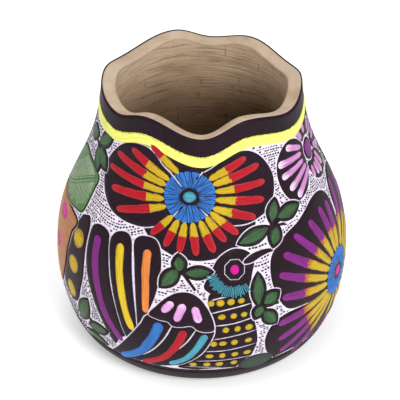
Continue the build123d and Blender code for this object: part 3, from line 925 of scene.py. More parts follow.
WING = (
    (-20.5, 47), (-24, 41), (-29, 32.5), (-36, 22), (-43, 12.5), (-36, 12), (-26, 13.5),
    (-16, 16.5), (-8, 19.5), (-1, 26), (3, 33.5), (4.9, 41), (2, 45), (-10, 48),
)
WING_LINES = (
    ((-11, 43.5), (-14.5, 35), (-19.5, 27), (-26, 20.5), (-38, 13.5)),
    ((-2, 42), (-6, 34), (-11.5, 27), (-18, 21), (-28, 15)),
)
SHOULDER = (
    (-20.6, 46.9), (-18, 51.5), (-14, 56.5), (-9.5, 59.7), (-4.5, 60.1), (-0.5, 57.3),
    (2.7, 51.8), (4.7, 45.2), (4.6, 41), (1.5, 40.2), (-1.6, 41.2), (-4, 43.4), (-7.5, 42.6),
    (-11, 42.6), (-13, 44.6), (-16.5, 45),
)
FRONT_GROUNDS = (
    (LOBE_TOP, ()), (LOBE_BOTTOM, ()), (LOBE_LEFT, ()), (LOBE_RIGHT, ()), (TAIL_PURPLE, ()),
    (TAIL_YELLOW, ()), (TAIL_ORANGE, ()), (BREAST, BREAST_LINES), (WING, WING_LINES), (HEAD, ()),
    (BEAK, ()), (SHOULDER, ()),
)
PETAL_UPPER_LEFT = (
    (57.5, 41), (50, 41.4), (42, 42.4), (35.5, 43.8), (32, 47.5), (29.2, 54), (27.6, 61),
    (27.6, 67.5), (29.2, 72.5), (33, 76), (38.5, 79.2), (45, 81.2), (52, 84), (58, 86.2),
    (64, 86.6), (69, 85), (72.2, 81.5), (73.4, 76), (73, 69), (71.3, 62), (69, 55), (66, 45),
)
PETAL_LOWER_LEFT = (
    (57.5, 40.5), (50, 41), (42, 42.3), (35, 42.6), (30, 41), (26.6, 37.3), (25, 32), (25.6, 26),
    (27.6, 20.5), (31, 15), (36, 9.5), (45, 6), (55, 5), (60, 12), (62, 25), (66, 38),
)
PETAL_UPPER_RIGHT = (
    (69, 52), (74, 60), (74.5, 70), (75.5, 78), (79, 84), (85, 87), (92, 86), (99, 81.5),
    (105, 74), (108, 64), (107.5, 54), (103, 47), (94, 44), (84, 43), (76, 43),
)
PETAL_LOWER_RIGHT = (
    (76, 42.5), (86, 42.4), (96, 43), (103, 41.5), (107.5, 36), (108.5, 28), (105.5, 20),
    (99, 13), (90, 8), (80, 6), (71, 7), (64, 10), (62.5, 22), (64.5, 35),
)
PINK_LEFT = (
    (66, 100), (64.2, 95), (59.5, 90.8), (54, 88.9), (49, 88.9), (44.7, 92), (42, 97), (41, 103),
    (42.2, 108.5), (45.5, 112.6), (50, 115), (55, 115.6), (60, 114.4), (64, 112), (66.8, 108.6),
)
PINK_BOTTOM = (
    (66.5, 99.5), (67, 95), (69.5, 90.8), (74, 88.4), (80, 88), (86, 89), (88.5, 93), (85.5, 97.6),
    (79, 101),
)
PINK_RIGHT = (
    (78.5, 101.5), (85, 98.5), (92, 97.4), (98, 99.5), (100.5, 104), (98.5, 108.8), (92, 111.4),
    (84, 110.5), (78.5, 107.5),
)
PINK_TOP = (
    (66.5, 109.5), (62.5, 114), (60, 119), (72, 122), (86, 121), (84, 114), (78, 109.5),
    (72, 110.5),
)
SPOTTED_FEATHER = (
    (-61.6, 76.3), (-58.5, 78.6), (-55.6, 79), (-53.6, 75), (-53, 67), (-52.4, 58), (-52.4, 51),
    (-54.3, 43), (-56.2, 36.5), (-60, 33), (-65, 33.5), (-68.5, 37.5), (-69, 43.5), (-67, 51),
    (-65.4, 57.5), (-64, 67),
)
FEATHER_MIRROR = -165
GROUND_PATCH = ((14, 13), (16, 19), (20, 22.5), (25, 22.5), (29, 20), (31, 15), (30, 11), (20, 10))
SIDE_GROUNDS = (
    PETAL_UPPER_RIGHT, PETAL_LOWER_RIGHT, PETAL_UPPER_LEFT, PETAL_LOWER_LEFT,
    PINK_TOP, PINK_RIGHT, PINK_BOTTOM, PINK_LEFT,
)

# The dark coat at the rim: how far it starts above the yellow band's lower edge, and its thin lip
UNDER_BAND = 0.9
LIP_UNEVEN = 0.18
LIP_START = 0.5
LIP_HEIGHT = 0.9

# How many of the grounds the flowers' discs lie over: all before those of the pink flower
UNDER_DISCS = 2 * len(FRONT_GROUNDS) + 4
DISC_LAP = 0.15
DISC_GROUND_LIFT = 0.018
GROUND_STEP = 0.003

# The yellow band, its ridges as height, count, sway and turns, and the cutters that keep the
# grounds clear of it and of the foot strips
BAND_INSET = 0.35
BAND_RIDGES = ((0.03, 12, 2, 5), (0.02, 23, 3, 3))
BAND_LIFT = 0.17
BAND_LAP = 0.2
CUTTER_MARGIN = 2
ABOVE_RIM = 140

# Flecks between scratches: their rows, which follow the rim higher up and elsewhere wave by
# size, crests, start and drift; how far apart and how even they are; and the points of one fleck
ROW_RISES = (FOOT_STRIP - 6, 136)
ROW_GAP = 1.14
ROW_SIZES = (0.72, 1.2)
ROW_WAVES = ((3.6, 6, 1, 40), (1.6, 11, 2, -30))
FOLLOW_FROM = 62
FOLLOW_OVER = 50
SPECK_GAP = 1.46
SPECK_JITTER = 0.07
SPECK_TURN = 0.12
SPECKS_MISSING = 0.05
SPECKS_FROM = FOOT_STRIP + 0.9
SPECKS_DROP = 13.2
SPECK_MARGIN = 0.22
SPECK_LENGTHS = (0.46, 0.62)
SPECK_WIDTHS = (0.32, 0.38)
SPECK_CORNERS = (0.85, 1.15)
SPECK_X = np.array((-1, 1, 1, -1, -0.8, 0.8))
SPECK_Y = np.array((-1, -1, 1, 1, 0, 0))
SPECK_LIFTS = np.array((-0.22, -0.22, -0.22, -0.22, -0.04, -0.04))
SPECK_FACES = ((3, 2, 1, 0), (0, 1, 5, 4), (1, 2, 5), (2, 3, 4, 5), (3, 0, 4))

# The clay body: rings of the underside and floor, the worn section of the rim as inward distance
# and sink, its nicks as angle, width and depth, and the combed inner wall
UNDERSIDE_REACHES = (20.0, 40.0, 49.0)
FLOOR_REACHES = (36.0, 18.0)
CLAY_BELOW_RIM = 0.9
UNDERCOAT_BELOW_RIM = 0.8
RIM_SECTION = ((0.1, 0.35), (0.45, 0.08), (1.2, 0), (2.4, -0.03), (3.6, 0), (4.8, 0.05), (5.6, 0.22))
RIM_NICKS = ((-29, 1.3, 0.8), (-74, 0.8, 0.25))
NICK_REACH = 1.8
OUTER_ROWS = 48
RIM_ROUGH = 0.10
RIM_UNEVEN = 0.05
LEAST_WEAR = 0.3
MOUTH_DROP = 0.55
FINE_ROWS = 108
FINE_STEP = 0.0037
COARSE_ROWS = 24
COMB_DEPTH = 0.05
COMB_TOP = 130
COMB_LINES = 600
INNER_WOBBLE = 0.07
RIM_FADE = 90


def blossom_curve(margin):
    """The blossom's outline: a cup with a flat top, full sides and a rounded foot."""
    half = [shifted(BLOSSOM_SPOT, x, y) for x, y in BLOSSOM_SIDE]
    other = [shifted(BLOSSOM_SPOT, -x, y) for x, y in BLOSSOM_SIDE[-2::-1]]
    return grown(smooth(half + other, per_span=5), margin)


def fan_curve(margin):
    """The fan leaf's outline."""
    return grown(smooth(FAN_OUTLINE), margin)


def fan_veins():
    """Paths of the fan leaf's double midrib and of the fine veins that run out from it."""
    edge = fan_curve(-VEIN_MARGIN)
    midrib = smooth(FAN_MIDRIB, False)
    side = sideways(midrib, False)
    paths = [(midrib + side * gap)[::5] for gap in (-MIDRIB_HALF, MIDRIB_HALF)]
    for share in np.linspace(*VEIN_SHARES, FAN_VEINS):
        start = midrib[int(share * (len(midrib) - 1))]
        for way in VEIN_WAYS:
            way = way - VEIN_LEAN * share
            spots = np.array([polar(start, way + reach / 2, reach) for reach in np.arange(*VEIN_REACHES)])
            spots = spots[inside(spots, edge)]
            if len(spots) > 4:
                paths.append(spots[::4])
    return paths


def octagon_ring(spot):
    """A many-sided line round a bird's eye, as one outline that doubles back on itself."""
    ways = np.linspace(0, 2 * pi, 9) + 0.3
    x, y = np.cos(ways), 1.03 * np.sin(ways)
    outer, inner = (shifted(spot, reach * x, reach * y) for reach in EYE_LINE_RADII)
    return np.vstack([outer, inner[::-1]])


def all_leaves():
    """Every small leaf, with those of the front repeated on the back."""
    leaves = list(LEAVES + SIDE_LEAVES)
    for angle, rise, length, width, turn in LEAVES:
        if angle > BACK_LEAVES_FROM:
            leaves.append((180 - angle, rise, length, width, 180 - turn))
    return leaves


def clusters():
    """Clusters of small leaves: where their stems meet, the stems' ends and the leaves."""
    found = []
    for centre, tips in STEMS:
        found.append((centre, tips, []))
        if BACK_LEAVES_FROM < centre[0] < BACK_LEAVES_TO:
            found.append((turned(centre, True), turned(tips, True), []))
    for leaf in all_leaves():
        spot = leaf[:2]
        gaps = [distance_between(spot, centre) for centre, _, _ in found]
        nearest = int(np.argmin(gaps))
        if gaps[nearest] < CLUSTER_REACH:
            found[nearest][2].append(leaf)
        else:
            tips = [polar(spot, leaf[4] + way, leaf[2] * LONE_STEM) for way in (0, 120, 240)]
            found.append((spot, tips, [leaf]))
    return found


def star(centre, tips):
    """Closed outline of stems that run out from one spot."""
    arms = []
    for tip in tips:
        right, up = (tip[0] - centre[0]) * mm_per_degree(centre[1]), tip[1] - centre[1]
        arms.append((degrees(atan2(up, right)) % 360, float(np.hypot(right, up))))
    arms.sort()
    points = []
    for index, (way, reach) in enumerate(arms):
        following = arms[(index + 1) % len(arms)][0]
        half = degrees(STEM_WIDTH / 2 / reach)
        points += [polar(centre, way - half, reach), polar(centre, way + half, reach)]
        points.append(polar(centre, way + ((following - way) % 360) / 2, STEM_WIDTH))
    return np.array(points, float)


def grounds():
    """Every dark ground: outline, outlines of its inner lines, and group. No line parts a group."""
    found = []

    def add(outline, lines=(), group=None):
        found.append((outline, list(lines), len(found) if group is None else group))

    for mirror in (False, True):
        for outline, lines in FRONT_GROUNDS:
            inner = [ribbon(turned(smooth(line, False), mirror), INNER_LINE) for line in lines]
            if outline is HEAD:
                inner.append(octagon_ring(turned(BIRD_EYE_SPOT, mirror)))
            group = f"bird {mirror}" if outline in (HEAD, BREAST) else None
            add(turned(smooth(outline), mirror), inner, group)
    for outline in SIDE_GROUNDS:
        add(smooth(outline))
    eye_outer, eye_inner = (ellipse(PINK_SPOT, *size) for size in PINK_EYE_LINE)
    add(eye_outer, [np.vstack([eye_outer, eye_inner[::-1]])])
    feather = np.array(SPOTTED_FEATHER, float)
    add(smooth(feather))
    feather[:, 0] = FEATHER_MIRROR - feather[:, 0]
    add(smooth(feather))
    for mirror in (False, True):
        add(turned(smooth(GROUND_PATCH), mirror))
    add(blossom_curve(BLOSSOM_MARGIN))
    add(fan_curve(FAN_MARGIN))
    for number, (centre, tips, leaves) in enumerate(clusters()):
        group = f"cluster {number}"
        add(star(centre, tips), group=group)
        for angle, rise, length, width, turn in leaves:
            length, width = length + LEAF_TIP_MARGIN, width + LEAF_SIDE_MARGIN
            add(leaf_outline((angle, rise), length, width, turn), group=group)
    return found


def band_cutter(outline):
    """Closed outline of everything above the yellow band's lower edge, over a ground's width."""
    left, right = outline[:, 0].min() - CUTTER_MARGIN, outline[:, 0].max() + CUTTER_MARGIN
    angles = np.linspace(left, right, 60)
    edge = np.stack([angles, rim_rise(angles) - BAND_DROP - BAND_WIDTH + BAND_LAP], -1)
    return np.vstack([edge, [(right, ABOVE_RIM), (left, ABOVE_RIM)]])


def foot_cutter(outline):
    """Closed outline of everything below the foot strip's top line, over a ground's width."""
    left, right = outline[:, 0].min() - CUTTER_MARGIN, outline[:, 0].max() + CUTTER_MARGIN
    top = FOOT_STRIP + LINE / 2
    return np.array([(left, -1), (right, -1), (right, top), (left, top)])


def add_specks(piece, outlines):
    """Flecks of dark coat left standing between rows of cross-hatching."""
    marks = np.arange(361)
    turns = np.radians(marks)
    rim = rim_rise(marks)
    spots, slopes, sizes = [], [], []
    for number, row in enumerate(np.arange(*ROW_RISES, ROW_GAP)):
        step = SPECK_GAP / mm_per_degree(row)
        angle = np.arange(SEAM, SEAM + 360 - step / 2, step) + random.uniform(0, step)
        follow = np.clip((row - FOLLOW_FROM) / FOLLOW_OVER, 0, 1)
        wave = sum(size * np.sin(turns * crests + start + row / drift)
                   for size, crests, start, drift in ROW_WAVES)
        wave = (rim - rim.mean()) * follow + wave * (1 - 0.6 * follow)
        around = angle % 360
        spots.append(np.stack([angle, row + np.interp(around, marks, wave)], -1))
        slopes.append(np.interp(around, marks, np.gradient(wave)) / mm_per_degree(row))
        sizes.append(np.full(len(angle), ROW_SIZES[number % 2]))
    spots, slopes, sizes = np.vstack(spots), np.concatenate(slopes), np.concatenate(sizes)
    spots = spots + random.normal(0, SPECK_JITTER, spots.shape)
    spots[:, 0] = (spots[:, 0] - SEAM) % 360 + SEAM
    kept = random.random(len(spots)) > SPECKS_MISSING
    kept &= (spots[:, 1] > SPECKS_FROM) & (spots[:, 1] < rim_rise(spots[:, 0]) - SPECKS_DROP)
    for outline in outlines:
        kept &= ~inside(spots, outline)
    spots, slopes, sizes = spots[kept], slopes[kept], sizes[kept]
    count = len(spots)
    slopes = slopes + random.normal(0, SPECK_TURN, count)
    long = random.uniform(*SPECK_LENGTHS, count)[:, None]
    wide = (random.uniform(*SPECK_WIDTHS, count) * sizes)[:, None]
    x = long * SPECK_X * random.uniform(*SPECK_CORNERS, (count, 6))
    y = wide * SPECK_Y
    c, s = np.cos(slopes)[:, None], np.sin(slopes)[:, None]
    rise = spots[:, 1:] + x * s + y * c
    around = spots[:, :1] + (x * c - y * s) / mm_per_degree(rise)
    points = on_wall(np.stack([around, rise], -1), SPECK_LIFTS)
    faces = [[6 * speck + index for index in face] for speck in range(count) for face in SPECK_FACES]
    piece.add(points, (), faces)


# ---------------------------------------------------------------- the pot


def build_clay():
    """The fired body: foot, outer wall, uneven wavy rim, combed inner wall and floor."""
    columns = 400
    angles = SEAM + np.arange(columns) * 360 / columns
    heading = np.radians(angles - 90)
    zero = 0 * angles
    top = rim_height(angles)
    nick = sum(depth * np.exp(-(((angles - at) / width) ** 2)) for at, width, depth in RIM_NICKS)
    rows = [(reach + zero, zero) for reach in UNDERSIDE_REACHES]
    for share in np.linspace(0, 1, OUTER_ROWS):
        rise = share * (rim_rise(angles) - CLAY_BELOW_RIM)
        point = on_wall(np.stack([angles, rise], -1), CLAY_LIFT) / MM
        rows.append((np.hypot(point[:, 0], point[:, 1]), point[:, 2]))
    lean = NECK_PULL_OUT / NECK_PULL_DOWN
    outer = NECK_RADIUS - (top - NECK_HEIGHT) * lean
    slope = tan(radians(RIM_SLOPE))
    rough = waver(columns, RIM_ROUGH, 12)
    for inward, sink in RIM_SECTION:
        wear = rough * (LEAST_WEAR + sink) - nick * np.exp(-((inward / NICK_REACH) ** 2))
        rows.append((outer - inward + waver(columns, RIM_UNEVEN, 10), top - inward * slope - sink + wear))
    neck_radius, neck_height = INNER_HIGH[-1]
    beyond = (neck_radius - INNER_BEYOND * lean, neck_height + INNER_BEYOND)
    inner = np.vstack([bezier(INNER_LOW), bezier(INNER_HIGH)[1:], [beyond]])
    mouth = top - WALL_THICKNESS * slope - MOUTH_DROP
    fine = 1 - np.arange(FINE_ROWS) * FINE_STEP
    coarse = np.linspace(fine[-1], 0, COARSE_ROWS)[1:]
    comb_heights = np.linspace(0, COMB_TOP, COMB_LINES)
    combing = random.normal(0, COMB_DEPTH, COMB_LINES)
    inside_shade_depths = []
    for share in np.concatenate([fine, coarse]):
        height = FLOOR_THICKNESS + (mouth - FLOOR_THICKNESS) * share
        uneven = np.interp(height, comb_heights, combing)
        uneven = uneven + INNER_WOBBLE * np.sin(np.radians(angles) * 9 + height / 9)
        rows.append((np.interp(height, inner[:, 1], inner[:, 0]) + uneven * share, height))
        # The first value is how far up the inside a row lies, which the clay's colour turns into painted
        # shade towards the floor; the second mixes rim and inside colours
        inside_shade_depths.append((share, min(1, (1 - share) * RIM_FADE), 0))
    rows += [(reach + zero, FLOOR_THICKNESS + zero) for reach in FLOOR_REACHES]
    points = [(radius * np.cos(heading), radius * np.sin(heading), height) for radius, height in rows]
    points = np.stack(points).transpose(0, 2, 1).reshape(-1, 3)
    centres = [(0, 0, 0), (0, 0, FLOOR_THICKNESS)]
    count = len(points)
    last = count - columns
    faces = grid_faces(len(rows), columns)
    for column, right, last_right, last_column in joining_faces(0, last, columns):
        faces.append((right, column, count))
        faces.append((last_column, last_right, count + 1))
    outside = np.zeros((len(rows) - len(inside_shade_depths) - len(FLOOR_REACHES), 3))
    floor_values = [(0, 1, 0)] * len(FLOOR_REACHES)
    edge = np.repeat(np.vstack([outside, inside_shade_depths, floor_values]), columns, 0)
    piece = Piece()
    points = np.vstack([points, centres]) * MM
    piece.add(points, faces, (), edge=np.vstack([edge, (0, 0, 0), (0, 1, 0)]))
    return piece


def build_undercoat():
    """White slip over the whole wall."""
    piece = Piece()
    top = rim_rise(RING_ANGLES) - UNDERCOAT_BELOW_RIM
    add_ring(piece, FOOT_RISE, top, UNDERCOAT_FOOT, UNDERCOAT_LIFT, rows=60)
    return piece


def build_topcoat():
    """What is left of the dark slip: rim band, foot strips, grounds of the motifs and specks."""
    piece = Piece()
    rim = rim_rise(RING_ANGLES)
    lip = rim + waver(len(rim), LIP_UNEVEN, 14)
    under_band = rim - BAND_DROP - BAND_WIDTH + UNDER_BAND
    add_ring(piece, under_band, lip - LIP_START, TOPCOAT_FOOT, 0.0, rows=10)
    add_ring(piece, lip - LIP_HEIGHT, lip, LIP_FOOT, LIP_LIFT, rows=3)
    add_ring(piece, FOOT_RISE, FOOT_LINE - FOOT_LINE_HALF, TOPCOAT_FOOT, 0.0, rows=9)
    add_ring(piece, FOOT_LINE + FOOT_LINE_HALF, FOOT_STRIP - FOOT_LINE_HALF, TOPCOAT_FOOT, 0.0, rows=2)
    found = grounds()
    discs = [ellipse(turned(FLOWER_SPOT, mirror), FLOWER_GROUND, FLOWER_GROUND) for mirror in (False, True)]
    discs.append(ellipse(SIDE_SPOT, SIDE_GROUND, SIDE_GROUND))
    for index, (outline, lines, group) in enumerate(found):
        cutters = [band_cutter(outline), foot_cutter(outline)] + lines
        for later, _, other in found[index + 1:]:
            if other != group:
                cutters.append(grown(later, LINE / 2))
        if index < UNDER_DISCS:
            cutters += [grown(disc, -DISC_LAP) for disc in discs]
        add_slab(piece, grown(outline, -LINE / 2), cutters, TOPCOAT_FOOT, GROUND_STEP * (index % 5))
    for disc, cuts in zip(discs, (DISC_CUTS, turned(DISC_CUTS, True), ())):
        cutters = [band_cutter(disc)] + [ribbon(smooth(cut, False), INNER_LINE) for cut in cuts]
        add_slab(piece, disc, cutters, TOPCOAT_FOOT, DISC_GROUND_LIFT)
    margins = [grown(outline, LINE / 2 + SPECK_MARGIN) for outline, _, _ in found]
    add_specks(piece, margins + discs)
    return piece


def build_band():
    """The yellow band: one thick brushed ring that follows the rim, with ragged edges."""
    angles = SEAM + np.arange(0, 360, 0.5)
    heading = np.radians(angles)
    columns = len(angles)
    across = np.sin(np.linspace(-pi / 2, pi / 2, 13))[:, None]
    middle = rim_rise(angles) - BAND_DROP - BAND_WIDTH / 2 - BAND_INSET
    upper = random.normal(0, 0.1, columns) + waver(columns, 0.34, 9)
    lower = waver(columns, 0.2, 9)
    rise = middle + across * (BAND_WIDTH / 2 - BAND_INSET + np.where(across > 0, upper, lower))
    bristles = sum(height * np.sin(across * lines + sway * np.sin(heading * turns))
                   for height, lines, sway, turns in BAND_RIDGES)
    foot = np.where(across > 0, EDGE_LIFT, TOPCOAT_FOOT)
    lift = foot + (BAND_LIFT - foot + bristles) * dome(across, 0.6)
    spots = np.stack([np.broadcast_to(angles, rise.shape), rise], -1)
    last = (len(across) - 1) * columns
    brush = values_at(rise.shape, 40 * np.sin(heading), across * BAND_WIDTH / 2, 4 * np.cos(heading))
    edge = values_at(rise.shape, 0, np.where(across > 0, across, -across * 0.75))
    piece = Piece()
    faces = grid_faces(len(across), columns)
    piece.add(on_wall(spots, lift), faces, joining_faces(last, 0, columns), brush, edge)
    return piece


def add_fingers(inner, outer, spot, start, fingers, widths, mirror):
    """A flower's two-colour finger strokes, with thin dry paint round the inner colour."""
    for leave, tip, reach, joint in fingers:
        if mirror:
            leave, tip = 180 - leave, 180 - tip
        first, last = polar(spot, leave, start), polar(spot, tip, reach)
        run = last - first
        share = (joint - start) / (reach - start)
        width = random.uniform(*widths)
        dry = first + run * (share + random.uniform(*DRY_ENDS))
        add_stroke(inner, (first, dry), width * DRY_WIDTH, taper=(0.75, 1.0), high=DRY_LIFT, shade=0.75)
        add_stroke(inner, (first, first + run * share), width, (True, False), (0.62, 0.95))
        over = first + run * (share - FINGER_LAP)
        add_stroke(outer, (over, last), width, (False, True), (0.97, 0.72), OUTER_LIFT)


def build_flower(side, spot, start, fingers, widths, paints, mirror=False, cuts=()):
    """A flower of combed disc, eye and two-colour strokes. paints: inner strokes, outer ones, eye."""
    disc, eye, inner, outer = Piece(), Piece(), Piece(), Piece()
    add_disc(disc, spot, EYE_RING, DISC_RADIUS, cuts)
    add_blob(eye, spot, *EYE)
    add_fingers(inner, outer, spot, start, fingers, widths, mirror)
    inner_paint, outer_paint, eye_paint = paints
    disc.build(f"{side}_flower_disc_paint", blue, f"{side}_flower_disc")
    eye.build(f"{side}_flower_eye_paint", eye_paint, f"{side}_flower_eye")
    inner.build(f"{side}_flower_inner_paint", inner_paint, f"{side}_flower_inner_strokes")
    outer.build(f"{side}_flower_outer_paint", outer_paint, f"{side}_flower_outer_strokes")


def build_bird(side, mirror):
    """A bird's feathers, shoulder strokes, breast spots, collar and eye."""
    for (feather, (width, path)), coat in zip(FEATHERS.items(), (purple, gold, orange, blue, red, turquoise)):
        piece = Piece()
        add_stroke(piece, turned(path, mirror), width, taper=(1.0, 0.8))
        piece.build(f"{side}_bird_{feather}_paint", coat, f"{side}_bird_{feather}")
    shoulder, breast, collar, eye = Piece(), Piece(), Piece(), Piece()
    for path in SHOULDER_STROKES:
        add_stroke(shoulder, turned(path, mirror), SHOULDER_WIDTH, taper=(0.85, 1.0))
    for rise, angles in BREAST_ROWS:
        for angle in angles:
            spot = turned((angle, rise), mirror)
            add_blob(breast, spot, *random.uniform(*BREAST_SIZES), rings=5, count=24)
    centre = turned(BIRD_EYE_SPOT, mirror)
    inner, outer = COLLAR_RADII
    ways = np.linspace(*COLLAR_ENDS, COLLAR_HAIRS)
    ways = 180 - ways if mirror else ways
    arc = [polar(centre, way, (inner + outer) / 2) for way in ways[1:-1:4]]
    add_stroke(collar, arc, outer - inner - 0.8, high=0.04, shade=1.0)
    for way in ways:
        near = polar(centre, way, inner + random.uniform(-0.6, 0.5))
        far = polar(centre, way + random.uniform(-1, 1), outer + random.uniform(-0.5, 0.7))
        add_stroke(collar, (near, far), COLLAR_HAIR_WIDTH, taper=(0.8, 1.0), high=0.13)
    add_blob(eye, centre, *BIRD_EYE)
    shoulder.build(f"{side}_bird_shoulder_paint", pink, f"{side}_bird_shoulder_strokes")
    breast.build(f"{side}_bird_breast_paint", dull_gold, f"{side}_bird_breast_spots")
    collar.build(f"{side}_bird_collar_paint", turquoise, f"{side}_bird_collar")
    eye.build(f"{side}_bird_eye_paint", magenta, f"{side}_bird_eye")


def build_pink_flower():
    """The small pink flower by the neck."""
    eye, strokes = Piece(), Piece()
    add_blob(eye, PINK_SPOT, *PINK_EYE)
    for leave, tip, reach in PINK_FINGERS:
        path = (polar(PINK_SPOT, leave, PINK_START), polar(PINK_SPOT, tip, reach))
        add_stroke(strokes, path, random.uniform(*PINK_WIDTHS), taper=(0.7, 1.0))
    eye.build("pink_flower_eye_paint", purple, "pink_flower_eye")
    strokes.build("pink_flower_paint", flower_pink, "pink_flower_strokes")


def build_side_motifs():
    """The blossom and its patches, the fan leaf, feather spots, small leaves and ground patches."""
    blossom, patches, fan, spots, leaves, ground = (Piece() for _ in range(6))
    holes = [grown(ellipse((angle, rise), wide, high), -0.15) for angle, rise, wide, high in BLOSSOM_PATCHES]
    add_slab(blossom, blossom_curve(0), holes, EDGE_LIFT, BLOSSOM_LIFT)
    for angle, rise, wide, high in BLOSSOM_PATCHES:
        add_blob(patches, (angle, rise), wide, high)
    add_slab(fan, fan_curve(0), (), *FAN_LIFTS)
    for path in fan_veins():
        add_stroke(fan, path, VEIN_WIDTH, taper=(0.8, 0.5), shade=0.95)
    for offset, rise in FEATHER_SPOTS:
        for way in (-1, 1):
            add_blob(spots, (BLOSSOM_SPOT[0] + way * offset, rise), *FEATHER_SPOT_SIZE)
    for angle, rise, length, width, turn in all_leaves():
        half = length * LEAF_REACH
        path = (polar((angle, rise), turn + 180, half), polar((angle, rise), turn, half))
        add_stroke(leaves, path, width * LEAF_FULLNESS, (False, False), high=0.10, leaf=True)
    for angle, rise, wide, high in GROUND_PATCHES:
        add_blob(ground, (angle, rise), wide, high, high=0.10)
    blossom.build("orange_blossom_paint", worn_orange, "orange_blossom")
    patches.build("blossom_patches_paint", magenta, "blossom_patches")
    fan.build("fan_leaf_paint", fan_green, "fan_leaf")
    spots.build("feather_spots_paint", dull_gold, "spotted_feather_spots")
    leaves.build("small_leaves_paint", leaf_green, "small_leaves")
    ground.build("ground_patches_paint", dark_green, "ground_patches")


def brushed(colour_name, colour, *tints, **settings):
    """A paint named after its slot."""
    slot = f"{colour_name}_paint"
    return paint(f"{slot}_brushed", slot, colour, *tints, **settings)


GOLD_SLOT = "golden_yellow_paint"
blue = brushed("blue", BLUE, scaled(BLUE, 0.5), scaled(BLUE, 1.25), 1.35)
turquoise = brushed("turquoise", TURQUOISE, scaled(TURQUOISE, 0.55), scaled(TURQUOISE, 1.2), 1.4)
gold = brushed("golden_yellow", GOLD, (0.34, 0.22, 0.015), scaled(GOLD, 1.1))
dull_gold = paint(f"{GOLD_SLOT}_dull", GOLD_SLOT, DULL_GOLD, (0.24, 0.16, 0.012), scaled(DULL_GOLD, 0.9))
tipped_gold = paint(f"{GOLD_SLOT}_red_ends", GOLD_SLOT, DULL_GOLD, (0.26, 0.17, 0.012), (0.42, 0.05, 0.02),
                    tips_between=(0.80, 0.90))
red = brushed("red", RED, (0.36, 0.03, 0.04), (0.44, 0.03, 0.03), 1.3)
orange = brushed("orange", ORANGE, (0.55, 0.16, 0.05), scaled(ORANGE, 1.15))
purple = brushed("purple", PURPLE, (0.15, 0.02, 0.15), scaled(PURPLE, 1.3))
magenta = brushed("magenta", MAGENTA, (0.40, 0.01, 0.20), scaled(MAGENTA, 1.1))
pink = brushed("pink", PINK, (0.50, 0.18, 0.48), (0.84, 0.62, 0.82), 1.3)
flower_pink = paint("pink_paint_flower", "pink_paint", FLOWER_PINK, (0.30, 0.10, 0.28), (0.85, 0.76, 0.88),
                    1.35)
leaf_green = brushed("leaf_green", GREEN, (0.014, 0.022, 0.014), scaled(GREEN, 0.5), 1.7, edge_from=0.5)
fan_green = paint("fan_leaf_paint_brushed", "leaf_green_paint", FAN_GREEN, (0.90, 1.0, 0.74),
                  (0.45, 0.64, 0.36), 1.4)
worn_orange = paint("orange_blossom_paint_worn", "orange_paint", WORN_ORANGE, (0.30, 0.10, 0.06), ORANGE,
                    1.35)
dark_green = brushed("dark_green", DARK_GREEN, (0.03, 0.035, 0.03), scaled(DARK_GREEN, 0.9), 1.4)
yellow = brushed("bright_yellow", FLUORESCENT, (0.36, 0.36, 0.04), FLUORESCENT, 1.12, edge_from=0.68)

build_clay().build("fired_clay_body", (clay_material(), "bare_clay"), "clay_body")
build_undercoat().build("white_slip_coat", (white_slip_material(), "white_slip"), "white_undercoat")
build_topcoat().build("dark_slip_coat", (dark_slip_material(), "dark_slip"), "dark_topcoat")
build_band().build("yellow_band_paint", yellow, "yellow_rim_band")
for side, mirror, outer in (("front", False, red), ("back", True, orange)):
    paints = (dull_gold, outer, turquoise)
    spot, cuts = turned(FLOWER_SPOT, mirror), turned(DISC_CUTS, mirror)
    build_flower(side, spot, FLOWER_START, FLOWER_FINGERS, FLOWER_WIDTHS, paints, mirror, cuts)
    build_bird(side, mirror)
build_flower("side", SIDE_SPOT, SIDE_START, SIDE_FINGERS, SIDE_WIDTHS, (tipped_gold, purple, magenta))
build_pink_flower()
build_side_motifs()

# ---------------------------------------------------------------- floor, light and camera

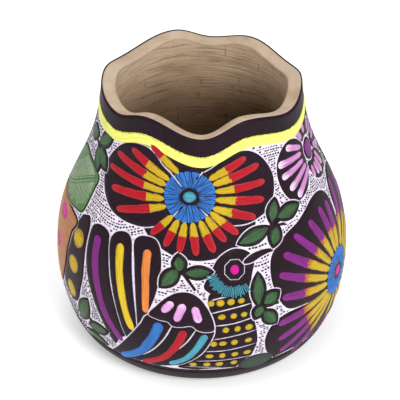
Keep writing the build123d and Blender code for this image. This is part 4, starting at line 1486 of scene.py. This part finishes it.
FLOOR_SIZE = 3.0
FLOOR_GLOW = 0.34
WORLD_STRENGTH = 0.58
TARGET = (0, 0, 0.0595)
LIGHTS = (("key", (0.4, -0.75, 0.8), 0.45, 6.6), ("top", (-0.25, -0.1, 1.1), 0.6, 3.0))


def floor_material():
    """Plain white studio paper with the faintest mottling."""
    made, shader = new_material("studio_paper", roughness=0.9, specular=0.1)
    grain = noise(made, object_coordinates(made), 9.0, 2.0)
    tone = ramp(made, grain, ((0.3, (0.90, 0.90, 0.90)), (0.7, (0.93, 0.93, 0.93))))
    shader.inputs["Emission Color"].default_value = (1, 1, 1, 1)
    shader.inputs["Emission Strength"].default_value = FLOOR_GLOW
    return finish_material(made, shader, tone, grain, strength=0.02, distance=0.0001)


def aimed_at_target(thing, place):
    """Puts a light or camera at a place, turns it to the target and adds it to the scene."""
    thing.location = place
    thing.rotation_euler = (Vector(TARGET) - Vector(place)).to_track_quat("-Z", "Y").to_euler()
    bpy.context.scene.collection.objects.link(thing)


corners = [(x * FLOOR_SIZE / 2, y * FLOOR_SIZE / 2, 0) for x, y in ((-1, -1), (1, -1), (1, 1), (-1, 1))]
floor_mesh = bpy.data.meshes.new("floor")
floor_mesh.from_pydata(corners, [], [(0, 1, 2, 3)])
floor_mesh.materials.append(floor_material())
floor = bpy.data.objects.new("floor", floor_mesh)
bpy.context.scene.collection.objects.link(floor)

world = bpy.data.worlds.new("studio")
world.use_nodes = True
world.node_tree.nodes["Background"].inputs["Color"].default_value = (1, 1, 1, 1)
world.node_tree.nodes["Background"].inputs["Strength"].default_value = WORLD_STRENGTH
bpy.context.scene.world = world

for name, place, size, power in LIGHTS:
    lamp = bpy.data.lights.new(name, "AREA")
    lamp.size = size
    lamp.energy = power
    aimed_at_target(bpy.data.objects.new(name, lamp), place)

lens = bpy.data.cameras.new("camera")
lens.sensor_width = 36
lens.lens = 161.4
lens.shift_x = -0.0045
lens.dof.use_dof = False
camera = bpy.data.objects.new("camera", lens)
aimed_at_target(camera, (0, -0.6709, 0.4952))
bpy.context.scene.camera = camera
bpy.context.scene.view_settings.view_transform = "Standard"
